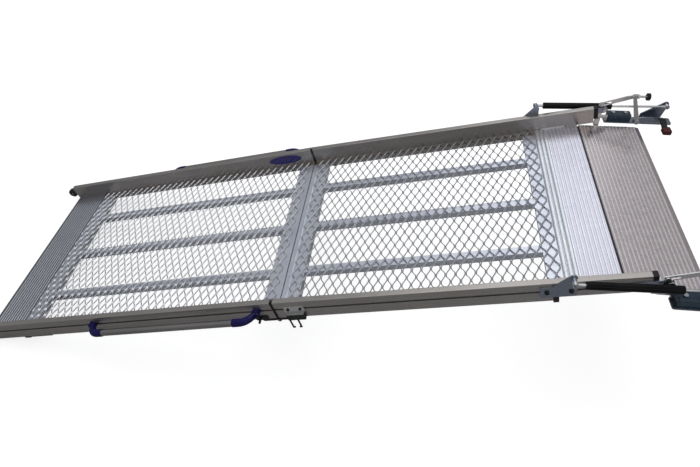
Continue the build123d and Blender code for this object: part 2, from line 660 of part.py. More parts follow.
def handle_end(boss_x, tube_x):
    """Plastic elbow: a boss on the rail, a curved arm and a socket for the tube."""
    way = 1 if tube_x > boss_x else -1
    with BuildPart() as elbow:
        with BuildSketch(beside(LOWER, OUTER)):
            with Locations((boss_x, SLOT_HEIGHT)):
                Circle(HANDLE_BOSS)
        extrude(amount=-12)
        with BuildLine() as arm:
            Spline(
                LOWER.from_local_coords((boss_x, OUTER + 5, SLOT_HEIGHT)),
                LOWER.from_local_coords((tube_x, HANDLE_Y, SLOT_HEIGHT)),
                tangents=[
                    LOWER.x_dir * (way * 0.5) + LOWER.y_dir,
                    LOWER.x_dir * way,
                ],
            )
        with BuildSketch(Plane(origin=arm.line @ 0, z_dir=arm.line % 0)):
            Circle(HANDLE_TUBE - 1.5)
        with BuildSketch(Plane(origin=arm.line @ 1, z_dir=arm.line % 1)):
            Circle(HANDLE_TUBE + 2)
        sweep(multisection=True)
        with BuildSketch(across(LOWER, tube_x)):
            with Locations((HANDLE_Y, SLOT_HEIGHT)):
                Circle(HANDLE_TUBE + 2)
        extrude(amount=way * HANDLE_INSERT)
        with BuildSketch(across(LOWER, tube_x)):
            with Locations((HANDLE_Y, SLOT_HEIGHT)):
                Circle(HANDLE_TUBE)
        extrude(amount=way * HANDLE_INSERT, mode=Mode.SUBTRACT)
        with BuildSketch(beside(LOWER, OUTER)):
            with Locations((boss_x, SLOT_HEIGHT)):
                Circle(4)
        extrude(amount=-40, mode=Mode.SUBTRACT)
        with BuildSketch(beside(LOWER, OUTER + 10)):
            with Locations((boss_x, SLOT_HEIGHT)):
                Circle(8)
        extrude(amount=-40, mode=Mode.SUBTRACT)
        with BuildSketch(beside(LOWER, OUTER)):
            with Locations((boss_x, SLOT_HEIGHT)):
                Rectangle(120, 120)
        extrude(amount=30, mode=Mode.SUBTRACT)
    return elbow.part


with BuildPart() as handle_ends:
    for boss_x, tube_x in HANDLE_ENDS:
        add(handle_end(boss_x, tube_x))
    mirror(about=Plane.XZ)
write(handle_ends.part, "handle_ends")

with BuildPart() as handle_tube:
    with BuildSketch(across(LOWER, HANDLE_ENDS[1][1])):
        with Locations((HANDLE_Y, SLOT_HEIGHT)):
            Circle(HANDLE_TUBE)
            Circle(HANDLE_TUBE - TUBE_WALL, mode=Mode.SUBTRACT)
    extrude(amount=HANDLE_ENDS[0][1] - HANDLE_ENDS[1][1])
write_pair(handle_tube.part, "handle_tube")

with BuildPart() as handle_rivets:
    rivet_points = [(boss_x, SLOT_HEIGHT) for boss_x, tube_x in HANDLE_ENDS]
    with BuildSketch(beside(LOWER, OUTER + 10)):
        with Locations(*rivet_points):
            Circle(6.5)
    extrude(amount=-3)
    with BuildSketch(beside(LOWER, OUTER + 10)):
        with Locations(*rivet_points):
            Circle(3.8)
    extrude(amount=17)
    mirror(about=Plane.XZ)
write(handle_rivets.part, "handle_rivets")

# ---------------------------------------------------------------- rollers at the ground end
ROLLER_POINT = (-LOWER_LENGTH - 22.0, 28.0)
ROLLER_RADIUS = 20.5
ROLLER_AXLE = 4.0
with BuildPart() as roller_brackets:
    with BuildSketch(beside(LOWER, OUTER)):
        with Locations(ROLLER_POINT):
            Circle(10)
        with Locations((-LOWER_LENGTH + 30, SLOT_HEIGHT)):
            Circle(11)
        make_hull()
        with Locations((-LOWER_LENGTH + 26, SLOT_HEIGHT)):
            Circle(4, mode=Mode.SUBTRACT)
    extrude(amount=-3)
    with BuildSketch(beside(LOWER, OUTER)):
        with Locations(ROLLER_POINT):
            Circle(ROLLER_AXLE)
    extrude(amount=RAIL_WIDTH)
    mirror(about=Plane.XZ)
write(roller_brackets.part, "roller_brackets")

with BuildPart() as roller:
    with BuildSketch(beside(LOWER, OUTER - 1)):
        with Locations(ROLLER_POINT):
            Circle(ROLLER_RADIUS)
    extrude(amount=19)
    fillet(roller.edges().filter_by(GeomType.CIRCLE), 3)
    with BuildSketch(beside(LOWER, OUTER - 1)):
        with Locations(ROLLER_POINT):
            Circle(ROLLER_AXLE + RUNNING_FIT)
    extrude(amount=19, mode=Mode.SUBTRACT)
write_pair(roller.part, "roller")

with BuildPart() as rail_badge:
    with BuildSketch(beside(LOWER, HALF_WIDTH)):
        with Locations((-129, 30)):
            Ellipse(75, 21)
    extrude(amount=1.6)
    chamfer(rail_badge.faces().sort_by(Axis.Y)[0].edges(), 0.6)
write(rail_badge.part, "rail_badge")

# ---------------------------------------------------------------- main pivot and ramp spring bracket
PIVOT_RADIUS = 4.0
with BuildPart() as pivot_plate:
    with BuildSketch(beside(UPPER, PLATE_LAYER[0])):
        with Locations(PIVOT_ON_RAMP):
            Circle(12)
        with Locations((-15, SLOT_HEIGHT)):
            Circle(11)
        make_hull()
        with Locations(PIVOT_ON_RAMP):
            Circle(PIVOT_RADIUS + RUNNING_FIT, mode=Mode.SUBTRACT)
        with Locations((-12, SLOT_HEIGHT), (40, SLOT_HEIGHT)):
            Circle(4, mode=Mode.SUBTRACT)
    extrude(amount=-4)
write_pair(pivot_plate.part, "pivot_plate")

STUD_RADIUS = 4.0
EYE_HALF = 6.0
BRACKET_BOLTS = ((-218.0, SLOT_HEIGHT), (-152.0, SLOT_HEIGHT))
with BuildPart() as spring_bracket:
    with BuildSketch(beside(UPPER, PLATE_LAYER[0])):
        with Locations((-187, 26)):
            RectangleRounded(101, 44, 5)
        with BuildLine():
            Polyline(
                (-205, 47),
                (EYE_ON_RAMP[0] - 8, EYE_ON_RAMP[1] + 8),
                (EYE_ON_RAMP[0] + 9, EYE_ON_RAMP[1]),
                (-139, 47),
                close=True,
            )
        make_face()
        with Locations(EYE_ON_RAMP):
            Circle(11)
        with Locations(*BRACKET_BOLTS):
            Circle(4, mode=Mode.SUBTRACT)
    extrude(amount=-4)
    with BuildSketch(beside(UPPER, PLATE_LAYER[0])):
        with Locations(EYE_ON_RAMP):
            Circle(7)
    extrude(amount=-(SPRING_Y - EYE_HALF - 0.5 - PLATE_LAYER[0]))
    with BuildSketch(beside(UPPER, PLATE_LAYER[0])):
        with Locations(EYE_ON_RAMP):
            Circle(STUD_RADIUS)
    extrude(amount=-(SPRING_Y + EYE_HALF + 2 - PLATE_LAYER[0]))
write_pair(spring_bracket.part, "spring_bracket")


def slot_bolts(frame, points, seat):
    """Button-head bolts in the T-slot: head outside the plate, shank in the slot."""
    head = 5.0
    with BuildPart() as bolts:
        with BuildSketch(beside(frame, seat)):
            with Locations(*points):
                Circle(7)
        extrude(amount=-head)
        chamfer(bolts.edges().filter_by(GeomType.CIRCLE).group_by(Axis.Y)[-1], 1.6)
        with BuildSketch(beside(frame, seat + head)):
            with Locations(*points):
                RegularPolygon(2.9, 6)
        extrude(amount=3, mode=Mode.SUBTRACT)
        with BuildSketch(beside(frame, seat)):
            with Locations(*points):
                Circle(3.8)
        extrude(amount=seat - OUTER + 8)
        mirror(about=Plane.XZ)
    return bolts.part


frame_bolts = slot_bolts(UPPER, [*BRACKET_BOLTS, (-12, SLOT_HEIGHT), (40, SLOT_HEIGHT)], PLATE_LAYER[1])
write(frame_bolts, "frame_bolts")
roller_bolts = slot_bolts(LOWER, [(-LOWER_LENGTH + 26, SLOT_HEIGHT)], OUTER + 3)
write(roller_bolts, "roller_bolts")

# ---------------------------------------------------------------- floor strip, post and block
STRIP_THICKNESS = 5.0
STRIP_INNER = 428.0
STRIP_OUTER = 468.0
STRIP_START = -174.0
STRIP_END = 74.0
FLOOR_HOLE = 4.5
POST_LEFT = -212.0           # the post stands clear of the strip, on an arm
POST_RIGHT = -192.0
ARM_BOTTOM = 19.0
ARM_TOP = 32.0
RISER_END = -166.5
PIN_RADIUS = 3.0
with BuildPart() as floor_strip:
    with BuildSketch(Plane.XY):
        with Locations(((STRIP_START + STRIP_END) / 2, (STRIP_INNER + STRIP_OUTER) / 2)):
            RectangleRounded(STRIP_END - STRIP_START, STRIP_OUTER - STRIP_INNER, 6)
        with Locations((-FLOOR_BOLT_X, FLOOR_BOLT_Y), (FLOOR_BOLT_X, FLOOR_BOLT_Y)):
            Circle(FLOOR_HOLE, mode=Mode.SUBTRACT)
    extrude(amount=STRIP_THICKNESS)
    with BuildSketch(beside(BASE, POST_LAYER[0])):
        with BuildLine():
            Polyline(
                (STRIP_START, 0),
                (RISER_END, 0),
                (RISER_END, ARM_TOP),
                (POST_RIGHT, ARM_TOP),
                (POST_RIGHT, BAR_PIN[1]),
                (POST_LEFT, BAR_PIN[1]),
                (POST_LEFT, ARM_BOTTOM),
                (STRIP_START, ARM_BOTTOM),
                close=True,
            )
        make_face()
        with Locations(BAR_PIN):
            Circle(8)
        with Locations(MAIN_PIVOT):
            Circle(11)
            Circle(PIVOT_RADIUS + RUNNING_FIT, mode=Mode.SUBTRACT)
    extrude(amount=POST_LAYER[0] - POST_LAYER[1])
    with BuildSketch(beside(BASE, POST_LAYER[0])):
        with Locations(BAR_PIN):
            Circle(PIN_RADIUS)
    extrude(amount=POST_LAYER[0] - BAR_LAYER[0] + 0.2)
write_pair(floor_strip.part, "floor_strip")

PIVOT_HEAD = 4.5
PIVOT_WASHER = 1.2           # clear of the gas spring beside it
with BuildPart() as main_pivot_bolts:
    with BuildSketch(beside(BASE, PLATE_LAYER[0] - 0.2)):
        with Locations(MAIN_PIVOT):
            Circle(8)
    extrude(amount=PIVOT_HEAD)
    chamfer(main_pivot_bolts.edges().group_by(Axis.Y)[0], 1.2)
    with BuildSketch(beside(BASE, PLATE_LAYER[0] - 0.2)):
        with Locations(MAIN_PIVOT):
            Circle(PIVOT_RADIUS)
    extrude(amount=-(POST_LAYER[1] - PLATE_LAYER[0] + 0.2))
    with BuildSketch(beside(BASE, POST_LAYER[1])):
        with Locations(MAIN_PIVOT):
            Circle(10.5)
    extrude(amount=-PIVOT_WASHER)
    mirror(about=Plane.XZ)
write(main_pivot_bolts.part, "main_pivot_bolts")

BLOCK_CENTRE = (-123.0, 445.0)
BLOCK_SIZE = (86.0, 35.0, 31.0)
BLOCK_BOLT_PITCH = 46.0
BLOCK_BOLT_HEAD = 4.0
with BuildPart() as mounting_blocks:
    with BuildSketch(Plane.XY.offset(STRIP_THICKNESS)):
        with Locations(BLOCK_CENTRE):
            Rectangle(BLOCK_SIZE[0], BLOCK_SIZE[1])
    extrude(amount=BLOCK_SIZE[2])
    fillet(mounting_blocks.edges().filter_by(Axis.Z), 4)
    chamfer(mounting_blocks.faces().sort_by(Axis.Z)[-1].edges(), 2)
    with BuildSketch(Plane.XY.offset(STRIP_THICKNESS)):
        with Locations(BLOCK_CENTRE):
            with GridLocations(BLOCK_BOLT_PITCH, 1, 2, 1):
                Circle(4)
    extrude(amount=BLOCK_SIZE[2], mode=Mode.SUBTRACT)
    mirror(about=Plane.XZ)
write(mounting_blocks.part, "mounting_blocks")

with BuildPart() as block_bolts:
    block_top = STRIP_THICKNESS + BLOCK_SIZE[2]
    with BuildSketch(Plane.XY.offset(block_top)):
        with Locations(BLOCK_CENTRE):
            with GridLocations(BLOCK_BOLT_PITCH, 1, 2, 1):
                RegularPolygon(7.5, 6)
    extrude(amount=BLOCK_BOLT_HEAD)
    with BuildSketch(Plane.XY.offset(STRIP_THICKNESS)):
        with Locations(BLOCK_CENTRE):
            with GridLocations(BLOCK_BOLT_PITCH, 1, 2, 1):
                Circle(3.9)
    extrude(amount=BLOCK_SIZE[2])
    mirror(about=Plane.XZ)
write(block_bolts.part, "block_bolts")

# ---------------------------------------------------------------- rear bracket for spring and lever
WALL_LAYER = (OUTER + 5.0, OUTER + 9.0)
EAR_LAYER = (462.0, 466.0)
REAR_START = -38.0
REAR_END = 34.0
with BuildPart() as rear_bracket:
    with BuildSketch(Plane.XY.offset(STRIP_THICKNESS)):
        with Locations((REAR_START, WALL_LAYER[0])):
            Rectangle(
                REAR_END - REAR_START,
                EAR_LAYER[1] - WALL_LAYER[0],
                align=(Align.MIN, Align.MIN),
            )
    extrude(amount=4)
    with BuildSketch(beside(BASE, WALL_LAYER[0])):
        with BuildLine():
            Polyline(
                (LEVER_PIVOT[0] - 13, STRIP_THICKNESS),
                (REAR_END, STRIP_THICKNESS),
                (REAR_END, 31),
                (REAR_START, 31),
                (LEVER_PIVOT[0] - 13, 22),
                close=True,
            )
        make_face()
        with Locations(LEVER_PIVOT):
            Circle(4.1, mode=Mode.SUBTRACT)
    extrude(amount=WALL_LAYER[0] - WALL_LAYER[1])
    with BuildSketch(beside(BASE, EAR_LAYER[0])):
        with BuildLine():
            Polyline(
                (REAR_START, STRIP_THICKNESS),
                (REAR_END + 4, STRIP_THICKNESS),
                (SPRING_BASE_EYE[0] + 11, SPRING_BASE_EYE[1]),
                (SPRING_BASE_EYE[0] - 9, SPRING_BASE_EYE[1] + 7),
                (REAR_START, 24),
                close=True,
            )
        make_face()
        with Locations(SPRING_BASE_EYE):
            Circle(11.5)
    extrude(amount=EAR_LAYER[0] - EAR_LAYER[1])
    with BuildSketch(beside(BASE, EAR_LAYER[0])):
        with Locations(SPRING_BASE_EYE):
            Circle(7)
    extrude(amount=EAR_LAYER[0] - SPRING_Y - EYE_HALF - 0.5)
    with BuildSketch(beside(BASE, EAR_LAYER[0])):
        with Locations(SPRING_BASE_EYE):
            Circle(STUD_RADIUS)
    extrude(amount=EAR_LAYER[0] - SPRING_Y + EYE_HALF + 2)
write_pair(rear_bracket.part, "rear_bracket")

FOOT_CENTRE = (41.0, 377.0)
FOOT_HEIGHT = 16.0
FOOT_STRAP_WIDTH = 20.0
with BuildPart() as rear_feet:
    with BuildSketch(Plane.XY):
        with Locations(FOOT_CENTRE):
            RectangleRounded(30, 34, 5)
    extrude(amount=FOOT_HEIGHT)
    fillet(rear_feet.faces().sort_by(Axis.Z)[-1].edges(), 4)
    with BuildSketch(across(BASE, REAR_END + 10 - FOOT_STRAP_WIDTH)):
        with BuildLine():
            Polyline(
                (FOOT_CENTRE[1], FOOT_HEIGHT - 6),
                (WALL_LAYER[0], 22),
                (WALL_LAYER[0], 30),
                (FOOT_CENTRE[1], FOOT_HEIGHT - 1),
                close=True,
            )
        make_face()
    extrude(amount=FOOT_STRAP_WIDTH)
    mirror(about=Plane.XZ)
write(rear_feet.part, "rear_feet")

# ---------------------------------------------------------------- stow lever, draw bar and knob
LEVER_WIDTH = 12.0
STEM_Y = 418.5
STEM_Z = LEVER_TOP[1] + 5.0
BOSS_HALF = 7.5
with BuildPart() as stow_lever:
    with BuildSketch(beside(BASE, PLATE_LAYER[0])):
        with Locations(LEVER_PIVOT):
            Circle(9)
        with Locations(LEVER_TOP):
            Circle(LEVER_WIDTH / 2)
        make_hull()
        with Locations(LEVER_PIVOT):
            Circle(PIVOT_RADIUS + RUNNING_FIT, mode=Mode.SUBTRACT)
    extrude(amount=PLATE_LAYER[0] - PLATE_LAYER[1])
    with BuildSketch(across(BASE, LEVER_TOP[0] - BOSS_HALF)):
        with Locations((STEM_Y + 0.5, STEM_Z)):
            Rectangle(12, 13)
    extrude(amount=2 * BOSS_HALF)
    with BuildSketch(across(BASE, LEVER_TOP[0] - BOSS_HALF)):
        with Locations((STEM_Y, STEM_Z)):
            Circle(4.1)
    extrude(amount=2 * BOSS_HALF, mode=Mode.SUBTRACT)
    with BuildSketch(beside(BASE, PLATE_LAYER[1])):
        with Locations(LEVER_TOP):
            Circle(2.5)
    extrude(amount=PLATE_LAYER[1] - BAR_LAYER[1] - 1)
write_pair(stow_lever.part, "stow_lever")

with BuildPart() as lever_pivot_bolts:
    with BuildSketch(beside(BASE, PLATE_LAYER[0] - 0.3)):
        with Locations(LEVER_PIVOT):
            Circle(10.5)
    extrude(amount=5)
    chamfer(lever_pivot_bolts.edges().group_by(Axis.Y)[0], 1.5)
    with BuildSketch(beside(BASE, PLATE_LAYER[0] - 5.3)):
        with Locations(LEVER_PIVOT):
            RegularPolygon(3, 6)
    extrude(amount=-2.5, mode=Mode.SUBTRACT)
    with BuildSketch(beside(BASE, PLATE_LAYER[0] - 0.3)):
        with Locations(LEVER_PIVOT):
            Circle(PIVOT_RADIUS)
    extrude(amount=-(WALL_LAYER[1] - PLATE_LAYER[0] + 5))
    with BuildSketch(beside(BASE, WALL_LAYER[1])):
        with Locations(LEVER_PIVOT):
            RegularPolygon(7.5, 6)
    extrude(amount=-5)
    mirror(about=Plane.XZ)
write(lever_pivot_bolts.part, "lever_pivot_bolts")

BAR_HEIGHT = 15.0
BAR_SLOT = 9.0               # room for the small swing of the bar about its pin
SLOT_TRAVEL = 30.0
bar_angle = degrees(atan2(LEVER_TOP[1] - BAR_PIN[1], LEVER_TOP[0] - BAR_PIN[0]))
BAR = sloped(BAR_PIN[0], BAR_PIN[1], bar_angle)
bar_eye = in_frame(BAR, LEVER_TOP)
with BuildPart() as draw_bar:
    with BuildSketch(beside(BAR, BAR_LAYER[0])):
        with Locations((SLOT_TRAVEL / 2, 0)):
            SlotCenterToCenter(SLOT_TRAVEL, BAR_HEIGHT)
        with Locations((bar_eye[0] / 2, 0)):
            Rectangle(bar_eye[0], BAR_HEIGHT)
        with Locations(bar_eye):
            Circle(BAR_HEIGHT / 2)
            Circle(2.5 + RUNNING_FIT, mode=Mode.SUBTRACT)
        with Locations((SLOT_TRAVEL / 2, 0)):
            SlotCenterToCenter(SLOT_TRAVEL, BAR_SLOT, mode=Mode.SUBTRACT)
    extrude(amount=BAR_LAYER[0] - BAR_LAYER[1])
write_pair(draw_bar.part, "draw_bar")

STEM_START = LEVER_TOP[0] - 12
KNOB_START = LEVER_TOP[0] + 38
with BuildPart() as knob_stem:
    with BuildSketch(across(BASE, STEM_START)):
        with Locations((STEM_Y, STEM_Z)):
            Circle(4)
    extrude(amount=KNOB_START - STEM_START + 8)
    with BuildSketch(across(BASE, LEVER_TOP[0] + BOSS_HALF)):
        with Locations((STEM_Y, STEM_Z)):
            RegularPolygon(7.5, 6)
    extrude(amount=6)
write_pair(knob_stem.part, "knob_stem")

with BuildPart() as knob:
    with BuildSketch(across(BASE, KNOB_START)):
        with Locations((STEM_Y, STEM_Z)):
            Circle(13.5)
    extrude(amount=12)
    fillet(knob.edges().filter_by(GeomType.CIRCLE), 2)
    with BuildSketch(across(BASE, KNOB_START)):
        with Locations((STEM_Y, STEM_Z)):
            Circle(4)
    extrude(amount=8, mode=Mode.SUBTRACT)
write_pair(knob.part, "knob")

# ---------------------------------------------------------------- gas springs
SPRING = sloped(SPRING_RAMP_EYE[0], SPRING_RAMP_EYE[1], SPRING_TILT)
GAS_START = 28.0             # ramp eye to the closed end of the tube
GAS_MOUTH = 280.0            # ramp eye to the open end
GAS_RADIUS = 12.0
GAS_BORE = 9.0
MOUTH_BORE = 5.8
ROD_RADIUS = 4.0
ROD_LENGTH = 225.0
EYE_RADIUS = 8.5
SPRING_SPAN = SPRING_RAMP_ARM + SPRING_BASE_ARM
with BuildPart() as gas_tube:
    with BuildSketch(across(SPRING, GAS_START)):
        with Locations((SPRING_Y, 0)):
            Circle(GAS_RADIUS)
    extrude(amount=GAS_MOUTH - GAS_START)
    fillet(gas_tube.edges().filter_by(GeomType.CIRCLE), 2)
    with BuildSketch(across(SPRING, GAS_START + 8)):
        with Locations((SPRING_Y, 0)):
            Circle(GAS_BORE)
    extrude(amount=GAS_MOUTH - GAS_START - 14, mode=Mode.SUBTRACT)
    with BuildSketch(across(SPRING, GAS_MOUTH - 10)):
        with Locations((SPRING_Y, 0)):
            Circle(MOUTH_BORE)
    extrude(amount=20, mode=Mode.SUBTRACT)
    with BuildSketch(across(SPRING, 0)):
        with Locations((SPRING_Y, 0)):
            Circle(5)
    extrude(amount=GAS_START + 2)
    with BuildSketch(beside(SPRING, SPRING_Y)):
        Circle(EYE_RADIUS)
    extrude(amount=EYE_HALF, both=True)
    with BuildSketch(beside(SPRING, SPRING_Y)):
        Circle(STUD_RADIUS + RUNNING_FIT)
    extrude(amount=2 * EYE_HALF, both=True, mode=Mode.SUBTRACT)
write_pair(gas_tube.part, "gas_tube")

with BuildPart() as gas_rod:
    with BuildSketch(across(SPRING, SPRING_SPAN - ROD_LENGTH)):
        with Locations((SPRING_Y, 0)):
            Circle(ROD_RADIUS)
    extrude(amount=ROD_LENGTH)
    with BuildSketch(across(SPRING, SPRING_SPAN - 18)):
        with Locations((SPRING_Y, 0)):
            Circle(5.5)
    extrude(amount=18)
    with BuildSketch(beside(SPRING, SPRING_Y)):
        with Locations((SPRING_SPAN, 0)):
            Circle(EYE_RADIUS)
    extrude(amount=EYE_HALF, both=True)
    with BuildSketch(beside(SPRING, SPRING_Y)):
        with Locations((SPRING_SPAN, 0)):
            Circle(STUD_RADIUS + RUNNING_FIT)
    extrude(amount=2 * EYE_HALF, both=True, mode=Mode.SUBTRACT)
write_pair(gas_rod.part, "gas_rod")
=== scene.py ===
import json
import math

import bmesh
import bpy
from mathutils import Matrix, Vector


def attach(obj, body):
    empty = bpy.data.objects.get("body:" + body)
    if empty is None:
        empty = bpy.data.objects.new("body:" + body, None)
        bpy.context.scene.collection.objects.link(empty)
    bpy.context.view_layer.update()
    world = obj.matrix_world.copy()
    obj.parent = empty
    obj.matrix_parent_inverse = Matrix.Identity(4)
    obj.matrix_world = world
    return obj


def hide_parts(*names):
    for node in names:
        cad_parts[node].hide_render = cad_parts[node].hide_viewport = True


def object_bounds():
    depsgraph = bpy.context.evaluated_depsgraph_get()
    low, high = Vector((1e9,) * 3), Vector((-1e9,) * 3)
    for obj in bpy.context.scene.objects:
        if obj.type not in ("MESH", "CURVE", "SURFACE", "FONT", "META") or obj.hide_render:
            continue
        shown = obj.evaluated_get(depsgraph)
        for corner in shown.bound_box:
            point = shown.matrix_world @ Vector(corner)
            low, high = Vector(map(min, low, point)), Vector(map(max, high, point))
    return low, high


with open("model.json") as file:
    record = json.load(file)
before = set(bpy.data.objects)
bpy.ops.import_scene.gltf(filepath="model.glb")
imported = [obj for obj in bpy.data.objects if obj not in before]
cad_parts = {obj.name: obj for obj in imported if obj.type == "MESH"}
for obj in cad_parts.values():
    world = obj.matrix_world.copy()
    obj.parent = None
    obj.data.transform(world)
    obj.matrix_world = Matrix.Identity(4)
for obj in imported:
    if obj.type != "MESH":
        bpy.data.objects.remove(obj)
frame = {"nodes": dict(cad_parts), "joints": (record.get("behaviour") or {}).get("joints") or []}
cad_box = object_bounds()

# The ramp is a row of extrusions, so most looks depend on the direction along a section.
# Everything is in metres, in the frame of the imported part: origin at the centre of the
# floor bolts, +X into the vehicle, +Y to the left, +Z up.

SLOPE = math.radians(12.8)          # upper section
CAMBER = math.radians(1.0)          # extra fall of the lower section
SPRING_TILT = math.radians(1.7)     # gas springs at rest
HALF_WIDTH = 0.400                  # inner face of a rail
RAIL_WIDTH = 0.021
RAIL_TOP = 0.060
RAIL_BOTTOM = -0.019
UPPER_LENGTH = 1.066
DECK_SHEET = 0.004                  # the mesh lies on bars this far below the deck
FOLD_DEPTH = 0.032                  # fold axis below the deck
SEAM_DEPTH = 0.004                  # base seam axis below the deck
SPRING_LINK = 0.028                 # bright end fitting of a gas spring
SEAM_HALF = 0.0034                  # half width of the dark joint between the two plates
RIB_HEIGHT = 0.0012                 # grooves of the ribbed plates lie this far below the deck
BAR_LOW = (-0.203, 0.0, 0.080)      # pin in the slot of the draw bar
BAR_SLOPE = math.atan2(0.039, 0.106)
SHEARED_SHADE = "sheared_shade"                 # marks the cut edges of the expanded metal, which are painted near black as shade


# ---------------------------------------------------------------- places
def joint_place(name):
    """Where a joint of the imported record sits."""
    return Vector(next(j["pos_m"] for j in frame["joints"] if j["name"] == name))


def section_frame(origin, angle):
    """Frame of a section: x up the slope, y to the left, z normal to the deck."""
    return Matrix.Translation(origin) @ Matrix.Rotation(-angle, 4, "Y")


BRIDGE = Matrix.Translation(joint_place("bridge_hinge")) @ Matrix.Translation((0, 0, SEAM_DEPTH))
UPPER = section_frame(joint_place("bridge_hinge"), SLOPE) @ Matrix.Translation((0, 0, SEAM_DEPTH))
LOWER_FOLD = section_frame(joint_place("section_fold"), SLOPE + CAMBER)
LOWER = LOWER_FOLD @ Matrix.Translation((0, 0, FOLD_DEPTH))
SPRING = section_frame(joint_place("spring_tube_pivot_left"), SPRING_TILT)
DRAW_BAR = section_frame(Vector(BAR_LOW), BAR_SLOPE)


# ---------------------------------------------------------------- material helpers
class Nodes:
    """Short way to write one material as nodes."""

    def __init__(self, name, along=None):
        self.material = bpy.data.materials.new(name)
        self.material.use_nodes = True
        self.tree = self.material.node_tree
        self.surface = self.tree.nodes["Principled BSDF"]
        where = self.add("ShaderNodeTexCoord")
        self.place = where.outputs["Object"]
        if along is not None:
            turn = self.add("ShaderNodeMapping", vector_type="TEXTURE")
            turn.inputs["Location"].default_value = along.to_translation()
            turn.inputs["Rotation"].default_value = along.to_euler()
            self.join(self.place, turn.inputs["Vector"])
            self.place = turn.outputs["Vector"]

    def add(self, kind, **settings):
        node = self.tree.nodes.new(kind)
        for field, value in settings.items():
            setattr(node, field, value)
        return node

    def join(self, source, target):
        self.tree.links.new(source, target)

    def feed(self, source, target):
        """Link a socket, or set a plain value."""
        if isinstance(source, bpy.types.NodeSocket):
            self.join(source, target)
        else:
            target.default_value = source

    def noise(self, size, detail=3.0, stretch=(1.0, 1.0, 1.0)):
        """Cloudy value from 0 to 1 whose features are about size metres, times stretch."""
        scaled = self.add("ShaderNodeVectorMath", operation="MULTIPLY")
        self.join(self.place, scaled.inputs[0])
        scaled.inputs[1].default_value = [1.0 / (size * s) for s in stretch]
        cloud = self.add("ShaderNodeTexNoise")
        cloud.inputs["Scale"].default_value = 1.0
        cloud.inputs["Detail"].default_value = detail
        self.join(scaled.outputs[0], cloud.inputs["Vector"])
        return cloud.outputs["Fac"]

    def spread(self, value, from_low, from_high, to_low, to_high):
        """Value remapped from one range to another, and held inside it."""
        node = self.add("ShaderNodeMapRange")
        self.feed(value, node.inputs["Value"])
        node.inputs["From Min"].default_value = from_low
        node.inputs["From Max"].default_value = from_high
        node.inputs["To Min"].default_value = to_low
        node.inputs["To Max"].default_value = to_high
        return node.outputs["Result"]

    def maths(self, operation, first, second):
        node = self.add("ShaderNodeMath", operation=operation)
        self.feed(first, node.inputs[0])
        self.feed(second, node.inputs[1])
        return node.outputs[0]

    def mix(self, share, first, second):
        """Colour between two colours."""
        node = self.add("ShaderNodeMix", data_type="RGBA")
        self.feed(share, node.inputs["Factor"])
        self.feed(first, node.inputs["A"])
        self.feed(second, node.inputs["B"])
        return node.outputs["Result"]

    def bump(self, height, depth, normal=None):
        node = self.add("ShaderNodeBump")
        node.inputs["Distance"].default_value = depth
        self.join(height, node.inputs["Height"])
        if normal is not None:
            self.join(normal, node.inputs["Normal"])
        return node.outputs["Normal"]

    def axis(self, letter):
        """One coordinate of the place."""
        node = self.add("ShaderNodeSeparateXYZ")
        self.join(self.place, node.inputs[0])
        return node.outputs[letter]

    def rounded(self, radius):
        """Normal of softly rounded edges, and a mask that is 1 along those edges."""
        edge = self.add("ShaderNodeBevel", samples=4)
        edge.inputs["Radius"].default_value = radius
        flat = self.add("ShaderNodeNewGeometry")
        same = self.add("ShaderNodeVectorMath", operation="DOT_PRODUCT")
        self.join(edge.outputs[0], same.inputs[0])
        self.join(flat.outputs["Normal"], same.inputs[1])
        return edge.outputs[0], self.spread(same.outputs["Value"], 0.995, 0.93, 0.0, 1.0)

    def finish(self, colour, rough, metallic, normal=None):
        self.feed(colour, self.surface.inputs["Base Color"])
        self.feed(rough, self.surface.inputs["Roughness"])
        self.feed(metallic, self.surface.inputs["Metallic"])
        if normal is not None:
            self.join(normal, self.surface.inputs["Normal"])
        return self.material


def rgb(red, green, blue):
    return (red, green, blue, 1.0)


# ---------------------------------------------------------------- materials
def drawn_metal(name, colour, shade, along, rough=(0.28, 0.42), line=0.0012, edge=0.0007, groove_shade=None):
    """Extruded or drawn metal: die lines along x, cloudy tone, brighter rubbed edges.
    A ribbed plate runs across, with painted shade in the grooves between its ribs and the dark of a joint at
    x = 0."""
    n = Nodes(name, along)
    lines = n.noise(line, 2.0, (400.0, 1.0, 1.0) if groove_shade is None else (1.0, 400.0, 1.0))
    clouds = n.noise(0.11, 4.0, (2.5, 1.0, 1.0))
    smears = n.noise(0.02, 5.0, (1.6, 1.0, 1.0))
    tone = n.mix(n.spread(clouds, 0.35, 0.65, 0.0, 1.0), colour, shade)
    tone = n.mix(n.spread(lines, 0.3, 0.7, 0.0, 0.18), tone, shade)
    round_normal, rubbed = n.rounded(edge)
    tone = n.mix(n.maths("MULTIPLY", rubbed, 0.4), tone, rgb(0.93, 0.93, 0.93))
    gloss = n.maths("ADD", n.spread(smears, 0.3, 0.7, rough[0], rough[1]),
                    n.spread(lines, 0.3, 0.7, -0.03, 0.05))
    metallic = 1.0
    if groove_shade is not None:
        # Painted shade: the grooves between the ribs are darkened towards the groove colour.
        tone = n.mix(n.spread(n.axis("Z"), -RIB_HEIGHT, -0.0001, 1.0, 0.0), tone, groove_shade)
        across = n.maths("ABSOLUTE", n.axis("X"), 0.0)
        dark = n.spread(across, SEAM_HALF - 0.0004, SEAM_HALF, 1.0, 0.0)
        tone = n.mix(dark, tone, rgb(0.012, 0.012, 0.02))
        metallic = n.maths("SUBTRACT", 1.0, dark)
    return n.finish(tone, gloss, metallic, n.bump(lines, 0.00003, round_normal))


